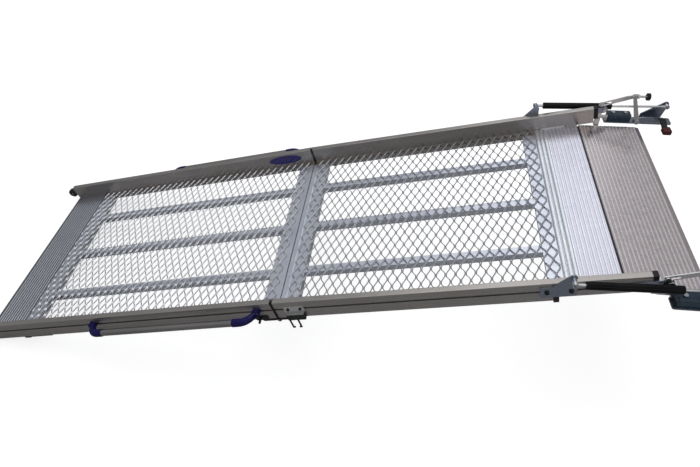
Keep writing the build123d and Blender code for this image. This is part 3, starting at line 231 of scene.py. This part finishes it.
def plated_steel(name, colour, shade, rough=(0.22, 0.45), spangle=0.004):
    """Zinc plated steel: small cloudy spangles and pale worn edges."""
    n = Nodes(name)
    clouds = n.noise(spangle, 5.0)
    stains = n.noise(0.03, 4.0)
    tone = n.mix(n.spread(clouds, 0.35, 0.65, 0.0, 1.0), colour, shade)
    tone = n.mix(n.spread(stains, 0.55, 0.75, 0.0, 0.35), tone, rgb(0.30, 0.31, 0.33))
    round_normal, rubbed = n.rounded(0.0006)
    tone = n.mix(n.maths("MULTIPLY", rubbed, 0.55), tone, rgb(0.86, 0.87, 0.88))
    gloss = n.spread(clouds, 0.3, 0.7, rough[0], rough[1])
    return n.finish(tone, gloss, 1.0, n.bump(clouds, 0.00004, round_normal))


def coated(name, colour, shade, rough=(0.28, 0.42), grain=0.0011, depth=0.00006, wear=0.35,
           worn=rgb(0.42, 0.42, 0.43), coat=0.0):
    """Paint, powder coat or moulded plastic: orange-peel grain, dust and worn edges."""
    n = Nodes(name)
    peel = n.noise(grain, 2.0)
    dust = n.noise(0.018, 6.0)
    tone = n.mix(n.spread(dust, 0.42, 0.7, 0.0, 0.8), colour, shade)
    round_normal, rubbed = n.rounded(0.0009)
    scuffs = n.spread(n.noise(0.005, 4.0), 0.45, 0.62, 0.0, 1.0)
    tone = n.mix(n.maths("MULTIPLY", n.maths("MULTIPLY", rubbed, scuffs), wear), tone, worn)
    gloss = n.spread(dust, 0.3, 0.7, rough[0], rough[1])
    n.surface.inputs["Specular IOR Level"].default_value = 0.25
    n.surface.inputs["Coat Weight"].default_value = coat
    n.surface.inputs["Coat Roughness"].default_value = 0.12
    return n.finish(tone, gloss, 0.0, n.bump(peel, depth, round_normal))


def two_tone(name, along, letter, limit, low, high):
    """Two finishes on one piece, split where a coordinate passes a limit. A finish is colour,
    worn colour, roughness and metallic."""
    n = Nodes(name, along)
    clouds = n.noise(0.006, 5.0)
    share = n.spread(n.axis(letter), limit - 0.0002, limit + 0.0002, 0.0, 1.0)
    round_normal, rubbed = n.rounded(0.0007)
    worn = n.maths("ADD", n.spread(clouds, 0.4, 0.7, 0.0, 0.4), n.maths("MULTIPLY", rubbed, 0.5))
    first = n.mix(worn, low[0], low[1])
    second = n.mix(worn, high[0], high[1])
    gloss = n.maths("ADD", n.spread(share, 0.0, 1.0, low[2], high[2]), n.spread(clouds, 0.3, 0.7, 0.0, 0.14))
    n.surface.inputs["Specular IOR Level"].default_value = 0.25
    return n.finish(n.mix(share, first, second), gloss, n.spread(share, 0.0, 1.0, low[3], high[3]),
                    n.bump(clouds, 0.00004, round_normal))


def mesh_metal(name):
    """Bright expanded sheet: satin faces, cut edges painted near black as shade, and a little tarnish."""
    n = Nodes(name)
    sheared_shade = n.add("ShaderNodeAttribute", attribute_name=SHEARED_SHADE)
    clouds = n.noise(0.05, 4.0)
    specks = n.noise(0.0025, 3.0)
    tone = n.mix(n.spread(clouds, 0.35, 0.65, 0.0, 1.0), rgb(0.72, 0.73, 0.76), rgb(0.59, 0.60, 0.63))
    tone = n.mix(n.spread(specks, 0.58, 0.72, 0.0, 0.45), tone, rgb(0.34, 0.34, 0.36))
    # Painted shade: the cut sides and ends of the strands are painted near black.
    tone = n.mix(sheared_shade.outputs["Fac"], tone, rgb(0.07, 0.07, 0.08))
    gloss = n.spread(specks, 0.3, 0.7, 0.30, 0.48)
    return n.finish(tone, gloss, 1.0, n.bump(specks, 0.00008))


def rubber(name, colour, shade):
    """Matt rubber with bloom and a fine pebbled skin."""
    n = Nodes(name)
    bloom = n.noise(0.009, 5.0)
    pebbles = n.noise(0.0013, 2.0)
    tone = n.mix(n.spread(bloom, 0.4, 0.7, 0.0, 0.7), colour, shade)
    return n.finish(tone, n.spread(bloom, 0.3, 0.7, 0.62, 0.85), 0.0, n.bump(pebbles, 0.0002))


def ground_chrome(name):
    """Polished rod: fine rings round it and a thin oil film."""
    n = Nodes(name, SPRING)
    rings = n.noise(0.0006, 1.0, (1.0, 40.0, 40.0))
    film = n.noise(0.012, 4.0)
    tone = n.mix(n.spread(film, 0.4, 0.7, 0.0, 1.0), rgb(0.74, 0.74, 0.75), rgb(0.58, 0.58, 0.60))
    gloss = n.maths("ADD", n.spread(film, 0.3, 0.7, 0.06, 0.2), n.spread(rings, 0.4, 0.6, 0.0, 0.06))
    return n.finish(tone, gloss, 1.0, n.bump(rings, 0.00001))


def spring_black(name):
    """Black gas spring tube whose end fitting is bare bright metal."""
    n = Nodes(name, SPRING)
    peel = n.noise(0.0012, 2.0)
    dust = n.noise(0.02, 6.0, (4.0, 1.0, 1.0))
    black = n.mix(n.spread(dust, 0.42, 0.72, 0.0, 1.0), rgb(0.004, 0.004, 0.005), rgb(0.012, 0.012, 0.013))
    bare = n.spread(n.axis("X"), SPRING_LINK - 0.0005, SPRING_LINK - 0.0003, 1.0, 0.0)
    round_normal, rubbed = n.rounded(0.0008)
    metal = n.mix(rubbed, rgb(0.62, 0.63, 0.64), rgb(0.85, 0.85, 0.85))
    n.surface.inputs["Specular IOR Level"].default_value = 0.12
    gloss = n.maths("ADD", n.spread(dust, 0.3, 0.7, 0.20, 0.34), n.maths("MULTIPLY", bare, 0.02))
    return n.finish(n.mix(bare, black, metal), gloss, bare, n.bump(peel, 0.00003, round_normal))


def enamel(name):
    """Deep blue glazed badge with faint flakes under the glaze."""
    n = Nodes(name)
    flakes = n.noise(0.0007, 1.0)
    depth = n.noise(0.03, 3.0)
    tone = n.mix(n.spread(flakes, 0.45, 0.7, 0.0, 0.35), rgb(0.020, 0.014, 0.20), rgb(0.07, 0.06, 0.42))
    tone = n.mix(n.spread(depth, 0.4, 0.6, 0.0, 0.4), tone, rgb(0.012, 0.008, 0.12))
    n.surface.inputs["Coat Weight"].default_value = 0.8
    n.surface.inputs["Coat Roughness"].default_value = 0.08
    return n.finish(tone, 0.3, 0.0, n.bump(flakes, 0.00001))


RAIL_TONE = (rgb(0.50, 0.475, 0.455), rgb(0.43, 0.405, 0.385))
BAR_TONE = (rgb(0.84, 0.87, 0.95), rgb(0.72, 0.75, 0.85))
ZINC_FINISH = (rgb(0.22, 0.24, 0.28), rgb(0.42, 0.44, 0.48), 0.26, 1.0)
SILVER_FINISH = (rgb(0.74, 0.74, 0.75), rgb(0.90, 0.90, 0.90), 0.20, 1.0)
BLACK_FINISH = (rgb(0.010, 0.010, 0.011), rgb(0.09, 0.09, 0.09), 0.30, 0.0)
BROWN_FINISH = (rgb(0.085, 0.020, 0.018), rgb(0.15, 0.055, 0.048), 0.60, 0.0)

MATERIALS = {
    "rail_upper": drawn_metal("rail_upper", *RAIL_TONE, UPPER, (0.26, 0.38)),
    "rail_lower": drawn_metal("rail_lower", *RAIL_TONE, LOWER, (0.26, 0.38)),
    "frame_upper": drawn_metal("frame_upper", *BAR_TONE, UPPER),
    "frame_lower": drawn_metal("frame_lower", *BAR_TONE, LOWER),
    # The groove colour of each ribbed plate is painted shade for the valleys between its ribs.
    "landing": drawn_metal("landing", rgb(0.92, 0.94, 1.0), rgb(0.85, 0.87, 0.95), UPPER, (0.24, 0.34),
                           edge=0.0004, groove_shade=rgb(0.72, 0.70, 0.80)),
    "bridge": drawn_metal("bridge", rgb(1.0, 0.96, 0.97), rgb(0.94, 0.90, 0.91), BRIDGE, (0.22, 0.32),
                          edge=0.0004, groove_shade=rgb(0.68, 0.60, 0.61)),
    "ridges": drawn_metal("ridges", rgb(0.86, 0.88, 0.93), rgb(0.76, 0.78, 0.84), UPPER, (0.24, 0.34)),
    "ground": drawn_metal("ground", rgb(0.62, 0.64, 0.70), rgb(0.54, 0.56, 0.62), LOWER, (0.30, 0.42),
                          edge=0.0003, groove_shade=rgb(0.26, 0.27, 0.30)),
    "handle": drawn_metal("handle", rgb(0.36, 0.345, 0.34), rgb(0.29, 0.28, 0.27), LOWER, (0.24, 0.36)),
    "mesh": mesh_metal("mesh"),
    "zinc": plated_steel("zinc", rgb(0.36, 0.39, 0.46), rgb(0.27, 0.30, 0.37)),
    "bright": plated_steel("bright", rgb(0.72, 0.72, 0.71), rgb(0.60, 0.60, 0.60), (0.2, 0.36)),
    "bolt": plated_steel("bolt", rgb(0.62, 0.63, 0.65), rgb(0.48, 0.49, 0.52), (0.18, 0.34), 0.002),
    "chrome": ground_chrome("chrome"),
    "spring": spring_black("spring"),
    "black_coat": coated("black_coat", rgb(0.010, 0.010, 0.012), rgb(0.03, 0.03, 0.032)),
    "block": coated("block", rgb(0.010, 0.034, 0.062), rgb(0.022, 0.052, 0.082), (0.16, 0.3), coat=0.5,
                    worn=rgb(0.5, 0.6, 0.68)),
    "blue": coated("blue", rgb(0.006, 0.005, 0.085), rgb(0.012, 0.010, 0.12), (0.34, 0.5),
                   grain=0.0014, depth=0.0001, wear=0.15, worn=rgb(0.12, 0.14, 0.4)),
    "black_plastic": coated("black_plastic", rgb(0.012, 0.012, 0.013), rgb(0.03, 0.03, 0.03), (0.35, 0.5),
                            grain=0.0016, depth=0.0001, wear=0.2, worn=rgb(0.14, 0.14, 0.14)),
    "black_rubber": rubber("black_rubber", rgb(0.012, 0.012, 0.013), rgb(0.045, 0.045, 0.045)),
    "badge": enamel("badge"),
    "strip": two_tone("strip", Matrix.Identity(4), "Z", 0.010, ZINC_FINISH, SILVER_FINISH),
    "clip": two_tone("clip", UPPER, "Z", 0.0075, BLACK_FINISH, SILVER_FINISH),
    "foot": two_tone("foot", Matrix.Identity(4), "Z", 0.0165, BROWN_FINISH, BLACK_FINISH),
}

# Finish of each CAD node, by the start of its name; the longest match counts.
NODE_LOOKS = {
    "upper_rail": "rail_upper",
    "lower_rail": "rail_lower",
    "upper_": "frame_upper",
    "lower_": "frame_lower",
    "landing_plate": "landing",
    "bridge_plate": "bridge",
    "ground_plate": "ground",
    "handle_tube": "handle",
    "seam_hinge_pin": "bolt",
    "rail_end_caps": "black_plastic",
    "pivot_plate": "zinc",
    "spring_bracket": "zinc",
    "frame_bolts": "black_coat",
    "fold_hinges": "black_coat",
    "fold_hinge_pins": "bolt",
    "fold_clips": "clip",
    "clip_screws": "black_coat",
    "clip_catches": "black_coat",
    "sill_buffers": "black_rubber",
    "handle_ends": "blue",
    "handle_rivets": "bolt",
    "rail_skids": "black_rubber",
    "roller_brackets": "zinc",
    "roller_bolts": "bolt",
    "roller_left": "black_rubber",
    "roller_right": "black_rubber",
    "rail_badge": "badge",
    "floor_strip": "strip",
    "main_pivot_bolts": "bolt",
    "mounting_blocks": "block",
    "block_bolts": "bolt",
    "rear_bracket": "zinc",
    "rear_feet": "foot",
    "lever_pivot_bolts": "bolt",
    "gas_tube": "spring",
    "gas_rod": "chrome",
    "stow_lever": "bright",
    "knob_stem": "bright",
    "knob_": "black_plastic",
    "draw_bar": "bright",
}


def dress_nodes():
    """Give every CAD node its finish."""
    for name, node in frame["nodes"].items():
        look = max((key for key in NODE_LOOKS if name.startswith(key)), key=len)
        node.data.materials.clear()
        node.data.materials.append(MATERIALS[NODE_LOOKS[look]])


# ---------------------------------------------------------------- mesh helpers
def face_outward(mesh):
    """Turn the faces of closed skins outward, because a mirrored skin comes out inside out."""
    shape = bmesh.new()
    shape.from_mesh(mesh)
    bmesh.ops.recalc_face_normals(shape, faces=shape.faces)
    shape.to_mesh(mesh)
    shape.free()


def new_piece(name, points, faces, look, body):
    """Mesh object in the row frame that rides on a body."""
    mesh = bpy.data.meshes.new(name)
    mesh.from_pydata([tuple(p) for p in points], [], faces)
    face_outward(mesh)
    mesh.materials.append(MATERIALS[look])
    piece = bpy.data.objects.new(name, mesh)
    bpy.context.scene.collection.objects.link(piece)
    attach(piece, body)
    return piece


def loft(rings):
    """Points and faces of a closed skin over rings of equal length."""
    points = [p for ring in rings for p in ring]
    count = len(rings[0])
    faces = []
    for r in range(len(rings) - 1):
        for k in range(count):
            near, far = r * count, (r + 1) * count
            after = (k + 1) % count
            faces.append((near + k, near + after, far + after, far + k))
    faces.append(tuple(reversed(range(count))))
    faces.append(tuple((len(rings) - 1) * count + k for k in range(count)))
    return points, faces


def joined(skins):
    """Several skins as one list of points and faces."""
    points = []
    faces = []
    for skin_points, skin_faces in skins:
        start = len(points)
        points.extend(skin_points)
        faces.extend(tuple(start + k for k in face) for face in skin_faces)
    return points, faces


def cut_bar(section, span, width, height, side, cut):
    """Points and faces of a bar along x of a section, on one side, with its four long edges cut."""
    near, far = width
    low, high = height
    outline = [
        (near, low + cut), (near + cut, low), (far - cut, low), (far, low + cut),
        (far, high - cut), (far - cut, high), (near + cut, high), (near, high - cut),
    ]
    return loft([[section @ Vector((x, side * y, z)) for y, z in outline] for x in span])


# ---------------------------------------------------------------- expanded mesh
PITCH_X = 0.0315                    # short way of a diamond
PITCH_Y = 0.061                     # long way
STRAND_WIDTH = 0.0042
STRAND_THICK = 0.0020
STRAND_CHAMFER = 0.0003
STRAND_TILT = math.radians(40)
BOND = 0.009                        # two strands run side by side over this length
MESH_HALF = 0.398
BENDS = 4                           # steps in one leg between two bonds
SHADED_CUT_SIDES = (3, 7)                  # faces of the strand section that the shears cut, painted near black as shade


def strand_section():
    """Chamfered flat strand, as offsets in x and z, tilted so that its edge down the slope is high."""
    wide = STRAND_WIDTH / 2
    thick = STRAND_THICK / 2
    cut = STRAND_CHAMFER
    corners = [
        (wide, thick - cut), (wide - cut, thick), (cut - wide, thick), (-wide, thick - cut),
        (-wide, cut - thick), (cut - wide, -thick), (wide - cut, -thick), (wide, cut - thick),
    ]
    sine, cosine = math.sin(STRAND_TILT), math.cos(STRAND_TILT)
    return [(u * cosine + v * sine, v * cosine - u * sine) for u, v in corners]


def leg_stations():
    """Stations along y over one pitch, each with its share of the way to the next bond row."""
    flat = BOND / 2
    leg = PITCH_Y / 2 - BOND
    out = [(-flat, 0.0)]
    for k in range(BENDS + 1):
        share = k / BENDS
        eased = 0.5 * share + 0.5 * share * share * (3 - 2 * share)
        out.append((flat + leg * share, eased))
    back = [(PITCH_Y - y, share) for y, share in reversed(out[1:])]
    return out + back


def ribbon(section, first_x, phase, middle_z):
    """One zigzag strand across the panel."""
    half_step = PITCH_X / 2
    side = STRAND_WIDTH / 2 * math.cos(STRAND_TILT)
    rise = STRAND_WIDTH / 2 * math.sin(STRAND_TILT)
    stations = []
    pitches = int(MESH_HALF / PITCH_Y) + 2
    for pitch in range(-pitches, pitches + 1):
        for y, share in leg_stations():
            stations.append(((pitch + phase) * PITCH_Y + y, share))
    clipped = []
    for (y0, s0), (y1, s1) in zip(stations, stations[1:]):
        for edge in (-MESH_HALF, MESH_HALF):
            if y0 < edge < y1:
                clipped.append((edge, s0 + (s1 - s0) * (edge - y0) / (y1 - y0)))
    inside = [s for s in stations if -MESH_HALF < s[0] < MESH_HALF]
    rings = []
    for y, share in sorted(inside + clipped):
        x = first_x + side + share * (half_step - 2 * side)
        z = middle_z + (2 * share - 1) * rise
        rings.append([(x + dx, y, z + dz) for dx, dz in section])
    return rings


def expanded_panel(name, section, start, end, body, node):
    """Raised expanded metal between two places along a section."""
    outline = strand_section()
    half_step = PITCH_X / 2
    count = int((end - start) / half_step)
    margin = (end - start - count * half_step) / 2
    reach = STRAND_WIDTH * math.sin(STRAND_TILT) + STRAND_THICK / 2 * math.cos(STRAND_TILT)
    middle_z = reach - DECK_SHEET
    skins = []
    for i in range(count):
        rings = ribbon(outline, start + margin + i * half_step, (i % 2) / 2, middle_z)
        skins.append(loft(rings))
    points, faces = joined(skins)
    panel = new_piece(name, [section @ Vector(p) for p in points], faces, "mesh", body)
    corners = len(outline)
    shade_marks = []
    for _, skin_faces in skins:
        sides = len(skin_faces) - 2
        shade_marks += [1.0 if k % corners in SHADED_CUT_SIDES else 0.0 for k in range(sides)]
        shade_marks += [1.0, 1.0]
    # loft lists the sides of a strand ring by ring, then its two ends, which are cut as well and get the
    # same painted shade.
    panel.data.attributes.new(SHEARED_SHADE, "FLOAT", "FACE").data.foreach_set("value", shade_marks)
    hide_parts(node)


def mesh_span(node, section):
    """Start and end of a mesh node along its section."""
    inverse = section.inverted()
    along = [(inverse @ v.co).x for v in frame["nodes"][node].data.vertices]
    return min(along), max(along)


def build_meshes():
    """Expanded metal in place of the plain panels of both sections."""
    for side, section in (("upper", UPPER), ("lower", LOWER)):
        node = f"{side}_mesh"
        start, end = mesh_span(node, section)
        expanded_panel(f"{side}_expanded_metal", section, start, end, f"{side}_section", node)


# ---------------------------------------------------------------- ridges, welds and seals
RIDGE_START = -0.160
RIDGE_PITCH = 0.0145
RIDGE_COUNT = 3
RIDGE_LOW = 0.0008                  # level of the valleys above the deck
RIDGE_HIGH = 0.0030
RIDGE_UNDER = -0.001                # underside, buried in the plate
RIDGE_STEPS = 10


def build_ridges():
    """Bold ridges along the lower edge of the landing plate."""
    top = []
    for k in range(RIDGE_COUNT * RIDGE_STEPS + 1):
        wave = abs(math.sin(math.pi * k / RIDGE_STEPS))
        x = RIDGE_START + k * RIDGE_PITCH / RIDGE_STEPS
        top.append((x, RIDGE_LOW + (RIDGE_HIGH - RIDGE_LOW) * wave ** 0.6))
    profile = top + [(top[-1][0], RIDGE_UNDER), (top[0][0], RIDGE_UNDER)]
    rings = [[UPPER @ Vector((x, y, z)) for x, z in profile] for y in (-MESH_HALF, MESH_HALF)]
    points, faces = loft(rings)
    new_piece("landing_ridges", points, faces, "ridges", "upper_section")


BEAD_START = -0.135
BEAD_END = -0.050
BEAD_RADIUS = 0.0045
BEAD_RIPPLE = 0.0038                # length of one puddle of the weld
BEAD_INSET = 0.0008                 # axis this far inside the face of the rail
BEAD_LIFT = 0.0016                  # axis this far above the deck
BEAD_STEPS = 110
BEAD_SIDES = 12


def build_welds():
    """Rippled weld beads at the foot of the upper rails."""
    circle = [2 * math.pi * c / BEAD_SIDES for c in range(BEAD_SIDES)]
    skins = []
    for side in (-1, 1):
        middle_y = side * (HALF_WIDTH - BEAD_INSET)
        rings = []
        for k in range(BEAD_STEPS + 1):
            x = BEAD_START + (BEAD_END - BEAD_START) * k / BEAD_STEPS
            ripple = abs(math.sin(math.pi * (x - BEAD_START) / BEAD_RIPPLE))
            radius = BEAD_RADIUS * (0.86 + 0.14 * ripple)
            ring = [(middle_y + radius * math.cos(a), BEAD_LIFT + radius * math.sin(a)) for a in circle]
            rings.append([UPPER @ Vector((x, y, z)) for y, z in ring])
        skins.append(loft(rings))
    points, faces = joined(skins)
    new_piece("rail_welds", points, faces, "bright", "upper_section")


SEAL_GAP = 0.0016                   # half of the open joint between the two seals
SEAL_LENGTH = 0.0026
SEAL_PROUD = 0.0006                 # the sleeve stands this far off the rail all round
SEAL_CUT = 0.0015


def build_seals():
    """Black sleeves on the rail ends at the fold."""
    width = (HALF_WIDTH - SEAL_PROUD, HALF_WIDTH + RAIL_WIDTH + SEAL_PROUD)
    height = (RAIL_BOTTOM - SEAL_PROUD, RAIL_TOP + SEAL_PROUD)
    upper_end = SEAL_GAP - UPPER_LENGTH
    for body, section, span in (
        ("upper_section", UPPER, (upper_end, upper_end + SEAL_LENGTH)),
        ("lower_section", LOWER, (-SEAL_GAP - SEAL_LENGTH, -SEAL_GAP)),
    ):
        skins = [cut_bar(section, span, width, height, side, SEAL_CUT) for side in (-1, 1)]
        points, faces = joined(skins)
        new_piece(f"fold_seals_{body}", points, faces, "black_rubber", body)


# ---------------------------------------------------------------- draw bar edges and rail stops
BAR_TOP = 0.0075                    # upper edge of the draw bar above its own axis
FLANGE_SPAN = (-0.006, 0.094)
FLANGE_WIDTH = (0.4253, 0.4298)     # just covers the bar, so it clears the pivot plates
FLANGE_SUNK = 0.0006                # sits this far into the bar
FLANGE_THICK = 0.0022
STOP_SPAN = (-0.2165, -0.2000)
STOP_WIDTH = (0.4040, 0.4180)
STOP_HEIGHT = (0.0005, 0.0310)
CORNER = 0.0008


def build_bar_flanges():
    """Bright top edge along each draw bar."""
    height = (BAR_TOP - FLANGE_SUNK, BAR_TOP + FLANGE_THICK)
    for name, side in (("left", 1), ("right", -1)):
        points, faces = cut_bar(DRAW_BAR, FLANGE_SPAN, FLANGE_WIDTH, height, side, CORNER)
        new_piece(f"bar_flange_{name}", points, faces, "bright", f"bar_{name}")


def build_rail_stops():
    """Bright blocks on the floor under the ends of the upper rails."""
    level = Matrix.Identity(4)
    skins = [cut_bar(level, STOP_SPAN, STOP_WIDTH, STOP_HEIGHT, side, CORNER) for side in (-1, 1)]
    points, faces = joined(skins)
    new_piece("rail_stops", points, faces, "bright", "base")


# ---------------------------------------------------------------- stage, light and camera
CAMERA_PLACE = (-0.9098, -1.4576, 1.2386)       # right of the ramp, looking down and across it
CAMERA_RIGHT = (0.9931, 0.1127, -0.0309)
CAMERA_UP = (-0.0588, 0.7109, 0.7009)
CAMERA_LENS = 28.13                             # mm, on Blender's 36 mm sensor
FLOOR_HALF = 30.0


def build_camera():
    """Camera from its place and two of its axes, made square to each other."""
    right = Vector(CAMERA_RIGHT).normalized()
    back = right.cross(Vector(CAMERA_UP)).normalized()
    up = back.cross(right)
    data = bpy.data.cameras.new("camera")
    data.lens = CAMERA_LENS
    camera = bpy.data.objects.new("camera", data)
    camera.matrix_world = Matrix.Translation(CAMERA_PLACE) @ Matrix((right, up, back)).transposed().to_4x4()
    bpy.context.scene.collection.objects.link(camera)
    bpy.context.scene.camera = camera


def build_floor():
    """Pale floor at the lowest point. Mirrored in the metal it is a mid grey, like a room's."""
    lowest = min(v[2] for v in cad_box)
    mesh = bpy.data.meshes.new("floor")
    corners = [(x * FLOOR_HALF, y * FLOOR_HALF, lowest) for x, y in ((-1, -1), (1, -1), (1, 1), (-1, 1))]
    mesh.from_pydata(corners, [], [(0, 1, 2, 3)])
    floor = bpy.data.objects.new("floor", mesh)
    bpy.context.scene.collection.objects.link(floor)
    n = Nodes("floor")
    n.finish(rgb(0.42, 0.42, 0.42), 0.9, 0.0)
    glow = n.add("ShaderNodeEmission")
    glow.inputs["Strength"].default_value = 0.80
    paper = n.add("ShaderNodeBsdfDiffuse")
    paper.inputs["Color"].default_value = rgb(0.5, 0.5, 0.5)
    seen = n.add("ShaderNodeAddShader")
    n.join(glow.outputs[0], seen.inputs[0])
    n.join(paper.outputs[0], seen.inputs[1])
    ray = n.add("ShaderNodeLightPath")
    either = n.add("ShaderNodeMixShader")
    n.join(ray.outputs["Is Camera Ray"], either.inputs[0])
    n.join(n.surface.outputs[0], either.inputs[1])
    n.join(seen.outputs[0], either.inputs[2])
    n.join(either.outputs[0], n.tree.nodes["Material Output"].inputs["Surface"])
    mesh.materials.append(n.material)


def build_world():
    """Soft room: bright above, dim at eye level."""
    world = bpy.data.worlds.new("room")
    bpy.context.scene.world = world
    world.use_nodes = True
    tree = world.node_tree
    where = tree.nodes.new("ShaderNodeTexCoord")
    parts = tree.nodes.new("ShaderNodeSeparateXYZ")
    tree.links.new(where.outputs["Generated"], parts.inputs[0])
    sky = tree.nodes.new("ShaderNodeValToRGB")
    tree.links.new(parts.outputs["Z"], sky.inputs["Fac"])
    sky.color_ramp.elements[0].position = 0.0
    sky.color_ramp.elements[0].color = rgb(0.42, 0.42, 0.43)
    sky.color_ramp.elements[1].position = 0.9
    sky.color_ramp.elements[1].color = rgb(0.95, 0.97, 1.0)
    room = tree.nodes["Background"]
    tree.links.new(sky.outputs["Color"], room.inputs["Color"])
    room.inputs["Strength"].default_value = 0.48
    plain = tree.nodes.new("ShaderNodeBackground")
    plain.inputs["Color"].default_value = rgb(1.0, 1.0, 1.0)
    ray = tree.nodes.new("ShaderNodeLightPath")
    either = tree.nodes.new("ShaderNodeMixShader")
    tree.links.new(ray.outputs["Is Camera Ray"], either.inputs[0])
    tree.links.new(room.outputs[0], either.inputs[1])
    tree.links.new(plain.outputs[0], either.inputs[2])
    tree.links.new(either.outputs[0], tree.nodes["World Output"].inputs["Surface"])


def softbox(name, place, target, size, power, colour):
    """Rectangular lamp that faces a target."""
    light = bpy.data.lights.new(name, "AREA")
    light.shape = "RECTANGLE"
    light.size, light.size_y = size
    light.energy = power
    light.color = colour
    lamp = bpy.data.objects.new(name, light)
    lamp.location = place
    lamp.rotation_euler = (Vector(target) - Vector(place)).to_track_quat("-Z", "Y").to_euler()
    bpy.context.scene.collection.objects.link(lamp)


def build_lights():
    """Large soft lamp overhead, a cooler one behind and a weak warm one in front."""
    middle = (-1.2, 0.0, -0.2)
    softbox("overhead", (-1.0, 0.6, 3.4), middle, (3.6, 2.2), 30, (1.0, 0.99, 0.98))
    softbox("back", (-0.3, 3.7, 3.4), middle, (3.0, 2.2), 16, (0.93, 0.96, 1.0))
    softbox("front", (0.6, -4.0, 1.8), middle, (2.6, 1.6), 10, (1.0, 0.97, 0.94))


dress_nodes()
build_meshes()
build_ridges()
build_welds()
build_seals()
build_bar_flanges()
build_rail_stops()
build_floor()
build_world()
build_lights()
build_camera()
bpy.context.scene.view_settings.view_transform = "Standard"
